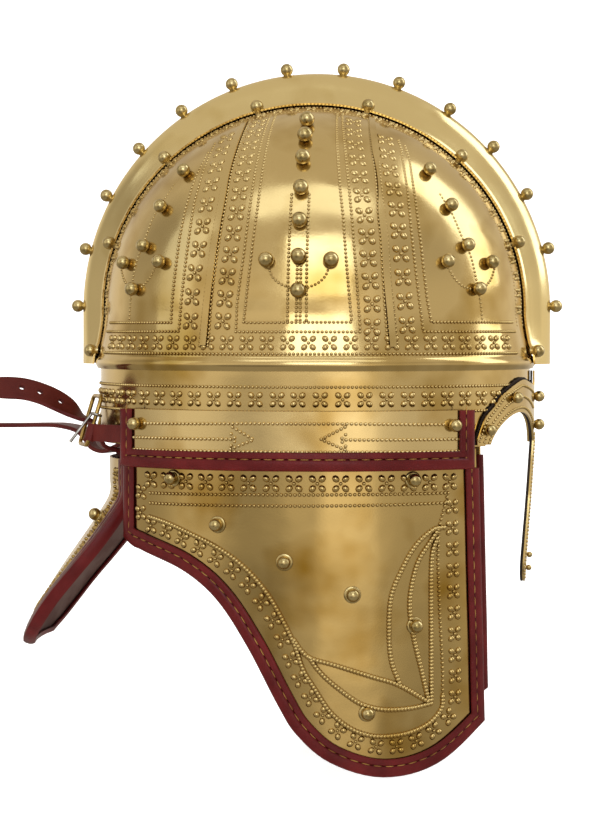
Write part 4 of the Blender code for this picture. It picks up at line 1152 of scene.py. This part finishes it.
def make_hinge_plate():
    outline = [
        (-PLATE_REAR, PLATE_TOP),
        (-PLATE_REAR, PLATE_BOTTOM),
        (PLATE_FRONT, PLATE_BOTTOM),
        (PLATE_FRONT, PLATE_TOP),
    ]

    def place(forward, height):
        return side_point(forward, height, PLATE_OUT)

    plate = cut_sheet("plate_sheet_right", outline, side_point, PLATE_OUT, SHEET)
    pair(plate, PLATE_BRASS, "brass", "hinge_plate_right")
    bosses = []
    for line in PLATE_LINES:
        bosses += beads(place, line, BOLD_BEADS)
    pair(punched("plate_relief_right", bosses), PLATE_BRASS, "brass")
    level = PLATE_TOP - PLATE_RIVET_DROP
    seats = [seat_on(place, -PLATE_REAR + PLATE_RIVET_INSET, level)[:2]]
    seats.append(seat_on(place, PLATE_FRONT - PLATE_RIVET_INSET, level)[:2])
    pair(studs("plate_rivets_right", seats, PLATE_RIVET), STUD_BRASS, "brass")
    strip, thread = edging("plate_border_right", outline, side_point, PLATE_OUT, SHEET, PLATE_EDGE_SWELL)
    pair(strip, RED_LEATHER, "red_leather", "plate_edging_right")
    pair(thread, GOLD_THREAD, "red_leather")


def cheek_place(forward, height):
    return cheek_point(forward, height, 0.0)


def make_cheek():
    curve = smooth_line([CHEEK_REAR_CORNER, *CHEEK_CURVE, CHEEK_FRONT_CORNER], 6)
    shares = [Vector((CHEEK_REAR_CORNER[0], 0.0)), *curve, Vector(CHEEK_FRONT_TOP)]
    outline = [Vector((share.x * CHEEK_REACH, CHEEK_TOP - share.y * CHEEK_DROP)) for share in shares]
    sheet = cut_sheet("cheek_sheet_right", outline, cheek_point, 0.0, SHEET, CHEEK_STEP)
    pair(sheet, CHEEK_BRASS, "brass", "cheek_right")

    edging_top = HINGE_BOTTOM - GAP
    outline[0].y = edging_top
    outline[-1] = outline[-1].lerp(outline[-2], (CHEEK_TOP - edging_top) / (outline[-1].y - outline[-2].y))
    strip, thread = edging("cheek_border_right", outline, cheek_point, 0.0, SHEET)
    pair(strip, RED_LEATHER, "red_leather", "cheek_edging_right")
    pair(thread, GOLD_THREAD, "red_leather")

    bosses = []
    for line in CHEEK_LINES:
        bosses += beads(cheek_place, line, BOLD_BEADS)
    for line in CHEEK_ROPES:
        bosses += beads(cheek_place, line, ROPE, 6)
    bosses += rosettes(cheek_place, CHEEK_BORDER, BORDER_ROSETTES, 3)
    bosses += rosettes(cheek_place, CHEEK_ROW, CHEEK_ROW_ROSETTES)
    pair(punched("cheek_relief_right", bosses), CHEEK_BRASS, "brass")

    seats = []
    for forward, down in CHEEK_KNOBS + CHEEK_RIVETS:
        seats.append(seat_on(cheek_place, forward * CHEEK_REACH, CHEEK_TOP - down * CHEEK_DROP)[:2])
    pair(knobs("cheek_knobs_right", seats, KNOB, KNOB_COLLAR), STUD_BRASS, "brass")


# Neck guard


def make_neck_guard():
    columns = 64
    levels = [-NECK_DROP * i / 48 for i in range(48, -1, -1)]

    def flat(u, v):
        height = pick(levels, v)
        return Vector(((2 * u - 1) * neck_profile(-height / NECK_DROP)[1], height))

    shape = sheet_grid(columns, len(levels) - 1, lambda u, v: neck_point(*flat(u, v)))
    keep(walled("neck_sheet", shape, SHEET), CHEEK_BRASS, "brass", ["neck_guard"])
    shape = sheet_grid(columns, len(levels) - 1, lambda u, v: neck_point(*flat(u, v), -SHEET - GAP))
    keep(walled("neck_leather", shape, NECK_LINING), BROWN_SUEDE, "brown_leather", ["neck_lining"])

    rows = [i / (len(levels) - 1) for i in range(len(levels))]
    path = [flat(0, v) for v in reversed(rows)] + [flat(i / 20, 0) for i in range(1, 20)]
    path += [flat(1, v) for v in rows]
    layers = SHEET + GAP + NECK_LINING + 2 * NECK_ROOM
    strip, thread = edging("neck_border", path, neck_point, NECK_ROOM, layers, inner_flap=NECK_INNER_FLAP)
    keep(strip, RED_LEATHER, "red_leather", ["neck_edging"])
    keep(thread, GOLD_THREAD, "red_leather")

    steps = list(zip(path, inward_steps(path)))[4:-4]
    bosses = []
    for depth in NECK_BEAD_DEPTHS:
        bosses += beads(neck_point, [point + step * depth for point, step in steps], BOLD_BEADS, unit=1)
    line = [point + step * NECK_ROSETTE_DEPTH for point, step in steps]
    bosses += rosettes(neck_point, line, NECK_ROSETTES, unit=1)
    keep(punched("neck_relief", bosses), CHEEK_BRASS, "brass")

    seats = []
    for share, down in NECK_KNOBS:
        seats.append(seat_on(neck_point, share * NECK_HALF_WIDTH, -down * NECK_DROP)[:2])
    keep(knobs("neck_knobs", seats, NECK_KNOB, NECK_COLLAR), STUD_BRASS, "brass")


# Straps and buckles


def make_tail_strap(name, table, node, left=False):
    """Strap with rounded edges and a pointed tip, turned about its own line, with three holes."""
    line = smooth_line(table, 4)
    stations = []
    for i, (out, height, twist) in enumerate(line):
        before, after = line[max(i - 1, 0)], line[min(i + 1, len(line) - 1)]
        along = (strap_point(after.x, after.y) - strap_point(before.x, before.y)).normalized()
        level = strap_point(0, 0, 1) - strap_point(0, 0)
        across = level * math.cos(twist * math.pi / 2) + level.cross(along) * math.sin(twist * math.pi / 2)
        stations.append((strap_point(out, height), along, across))
    last = len(stations) - 1
    reach = [0.0]
    for (a, _, _), (b, _, _) in zip(stations[::-1], stations[-2::-1]):
        reach.append(reach[-1] + (a - b).length)
    reach.reverse()

    def place(u, v):
        index = round(u * last)
        middle, along, across = stations[index]
        side, face = pick(STRAP_SECTION, v)
        width = float(np.interp(reach[index], *TIP_TAPER)) * STRAP_WIDTH
        return middle + across * side * width / 2 + across.cross(along) * face * STRAP_LEATHER / 2

    strap = bmesh_piece(name, sheet_grid(last, len(STRAP_SECTION) - 1, place, cap_ends=True))
    shape = bmesh.new()
    for number in range(3):
        mark = FIRST_HOLE + number * HOLE_PITCH
        index = min(range(len(reach)), key=lambda i: abs(reach[i] - mark))
        middle, along, across = stations[index]
        turn = Vector((0, 0, 1)).rotation_difference(across.cross(along))
        sizes = {"radius1": HOLE_RADIUS, "radius2": HOLE_RADIUS, "depth": 4 * STRAP_LEATHER}
        hole = bmesh.ops.create_cone(shape, cap_ends=True, segments=20, **sizes)
        for vertex in hole["verts"]:
            vertex.co = turn @ vertex.co + middle
    cutter = bmesh_piece(name + "_punch", shape)
    boolean = strap.modifiers.new("holes", "BOOLEAN")
    boolean.operation = "DIFFERENCE"
    boolean.object = cutter
    settle(strap, 35)
    bpy.data.objects.remove(cutter, do_unlink=True)
    if left:
        right = strap
        strap = left_copy(right)
        bpy.data.objects.remove(right, do_unlink=True)
        strap.name = node + "_leather"
        strap.data.set_sharp_from_angle(angle=math.radians(35))
    keep(strap, STRAP_RED, "strap_leather", [node])


def wire(name, points, radius, cyclic):
    """Round wire through points, as a mesh."""
    curve = bpy.data.curves.new(name, "CURVE")
    curve.dimensions = "3D"
    curve.bevel_depth = radius
    curve.bevel_resolution = 4
    curve.use_fill_caps = not cyclic
    spline = curve.splines.new("POLY")
    spline.points.add(len(points) - 1)
    for target, point in zip(spline.points, points):
        target.co = (*point, 1)
    spline.use_cyclic_u = cyclic
    holder = placed(name + "_line", curve)
    bpy.context.view_layer.update()
    mesh = bpy.data.meshes.new_from_object(holder.evaluated_get(bpy.context.evaluated_depsgraph_get()))
    bpy.data.objects.remove(holder, do_unlink=True)
    mesh.shade_smooth()
    mesh.set_sharp_from_angle(angle=math.radians(50))
    return placed(name, mesh)


def buckle_point(across, up, off=0.0):
    out = BUCKLE_OUT - up * math.sin(BUCKLE_LEAN) + off * math.cos(BUCKLE_LEAN)
    height = BUCKLE_LEVEL + up * math.cos(BUCKLE_LEAN) + off * math.sin(BUCKLE_LEAN)
    return strap_point(out, height, across)


def make_buckle():
    half_width = (BUCKLE_WIDTH - BUCKLE_WIRE) / 2
    half_height = (BUCKLE_HEIGHT - BUCKLE_WIRE) / 2
    points = []
    for right, up, start in ((1, 1, 0), (-1, 1, 90), (-1, -1, 180), (1, -1, 270)):
        for step in range(0, 91, 15):
            angle = math.radians(start + step)
            across = right * (half_width - BUCKLE_CORNER) + BUCKLE_CORNER * math.cos(angle)
            level = up * (half_height - BUCKLE_CORNER) + BUCKLE_CORNER * math.sin(angle)
            points.append(buckle_point(across, level))
    frame_wire = wire("buckle_wire_right", points, BUCKLE_WIRE / 2, True)
    pair(frame_wire, WIRE_BRASS, "dark_brass", "buckle_frame_right")
    loop_radius = BUCKLE_WIRE / 2 + SEAT_GAP + PRONG_WIRE / 2
    points = []
    for step in range(21):
        angle = math.radians(60 + step * 15)
        across = half_width - loop_radius * math.sin(angle)
        points.append(buckle_point(across, PRONG_ROOT, loop_radius * math.cos(angle)))
    along = buckle_point(0, -math.cos(PRONG_SPREAD), math.sin(PRONG_SPREAD)) - buckle_point(0, 0)
    points.append(points[-1] + along * PRONG_LENGTH)
    prong = wire("prong_wire_right", points, PRONG_WIRE / 2, False)
    pair(prong, PRONG_STEEL, "dark_brass", "buckle_prong_right")


# Surroundings


def make_stage():
    """Pale floor that curves up into a backdrop, hidden from the brass so that it keeps its contrast."""
    profile = [(-2.6, 0.0), (BEND_START, 0.0)]
    for turn in np.radians(range(10, 91, 10)):
        profile.append((BEND_START + BEND_RADIUS * math.sin(turn), BEND_RADIUS * (1 - math.cos(turn))))
    profile.append((BEND_START + BEND_RADIUS, BACKDROP_HEIGHT))
    shape = sheet_grid(2, len(profile) - 1, lambda u, v: Vector(((u - 0.5) * 7, *pick(profile, v))))
    sweep = bmesh_piece("backdrop", shape)
    sweep.location.z = CHEEK_TOP - CHEEK_DROP - FLOOR_DROP
    sweep.data.shade_smooth()
    sweep.visible_glossy = False
    material, _, shader, _ = new_finish("white_paper")
    shader.inputs["Base Color"].default_value = linear("FAFAFA")
    shader.inputs["Roughness"].default_value = 0.95
    shader.inputs["Emission Color"].default_value = linear("FFFFFF")
    shader.inputs["Emission Strength"].default_value = 0.6
    sweep.data.materials.append(material)

    for name, place, width, height, power, aim in WINDOWS:
        data = bpy.data.lights.new(name, "AREA")
        data.shape = "RECTANGLE"
        data.size = width
        data.size_y = height
        data.energy = power
        data.color = DAYLIGHT
        light = placed(name, data)
        light.location = place
        light.rotation_euler = (Vector(aim) - Vector(place)).to_track_quat("-Z", "Y").to_euler()


def make_room():
    """World of a plain warm room, darker towards its floor and ceiling, with the patches."""
    world = bpy.data.worlds.new("room")
    bpy.context.scene.world = world
    world.use_nodes = True
    tree = world.node_tree
    direction = add_node(tree, "ShaderNodeTexCoord").outputs["Generated"]
    height = add_node(tree, "ShaderNodeSeparateXYZ", {"Vector": direction}).outputs["Z"]
    floor = {"Value": height, "From Min": -0.30, "From Max": 0.0, "To Min": 0.40, "To Max": 0.92}
    shares = [{"Value": height, "From Min": 0.12, "From Max": 0.45, "To Min": 1.0, "To Max": 0.78}]
    for toward, inner, outer, brightness in PATCHES:
        way = {0: direction, 1: tuple(Vector(toward).normalized())}
        facing = add_node(tree, "ShaderNodeVectorMath", way, operation="DOT_PRODUCT").outputs["Value"]
        edges = {"From Min": outer, "From Max": inner}
        shares.append({"Value": facing, **edges, "To Min": 1.0, "To Max": brightness})
    level = add_node(tree, "ShaderNodeMapRange", floor).outputs["Result"]
    for share in shares:
        part = add_node(tree, "ShaderNodeMapRange", share).outputs["Result"]
        level = add_node(tree, "ShaderNodeMath", {0: level, 1: part}, operation="MULTIPLY").outputs[0]
    tree.links.new(level, tree.nodes["Background"].inputs["Strength"])
    tree.nodes["Background"].inputs["Color"].default_value = linear("FFF7EA")
    bpy.context.scene.view_settings.view_transform = "Standard"


def make_camera():
    """Camera on the helmet's right side, at the photograph's angle."""
    right = Vector((math.cos(CAMERA_TURN), math.sin(CAMERA_TURN), 0))
    view = Vector((-math.sin(CAMERA_TURN), math.cos(CAMERA_TURN), 0))
    data = bpy.data.cameras.new("photo_camera")
    data.lens = CAMERA_LENS
    data.sensor_width = 36
    camera = placed("photo_camera", data)
    camera.location = view * -CAMERA_DISTANCE + right * CAMERA_FORWARD + Vector((0, 0, CAMERA_HEIGHT))
    aim = view * math.cos(CAMERA_TILT) - Vector((0, 0, math.sin(CAMERA_TILT)))
    camera.rotation_euler = aim.to_track_quat("-Z", "Y").to_euler()
    bpy.context.scene.camera = camera


make_camera()
make_bowl()
make_ridge()
make_brow_band()
make_brow_guard()
make_hinge_plate()
make_cheek()
make_neck_guard()
make_tail_strap("tail_strap_right_leather", RIGHT_TAIL, "tail_strap_right")
make_tail_strap("loose_strap_right", LEFT_TAIL, "tail_strap_left", left=True)
make_buckle()

for node, finish in (
    ("cheek_hinge_right", BROWN_SUEDE),
    ("cheek_hinge_left", BROWN_SUEDE),
    ("buckle_strap_right", STRAP_RED),
    ("buckle_strap_left", STRAP_RED),
):
    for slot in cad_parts[node].material_slots:
        slot.material = finish

make_stage()
make_room()
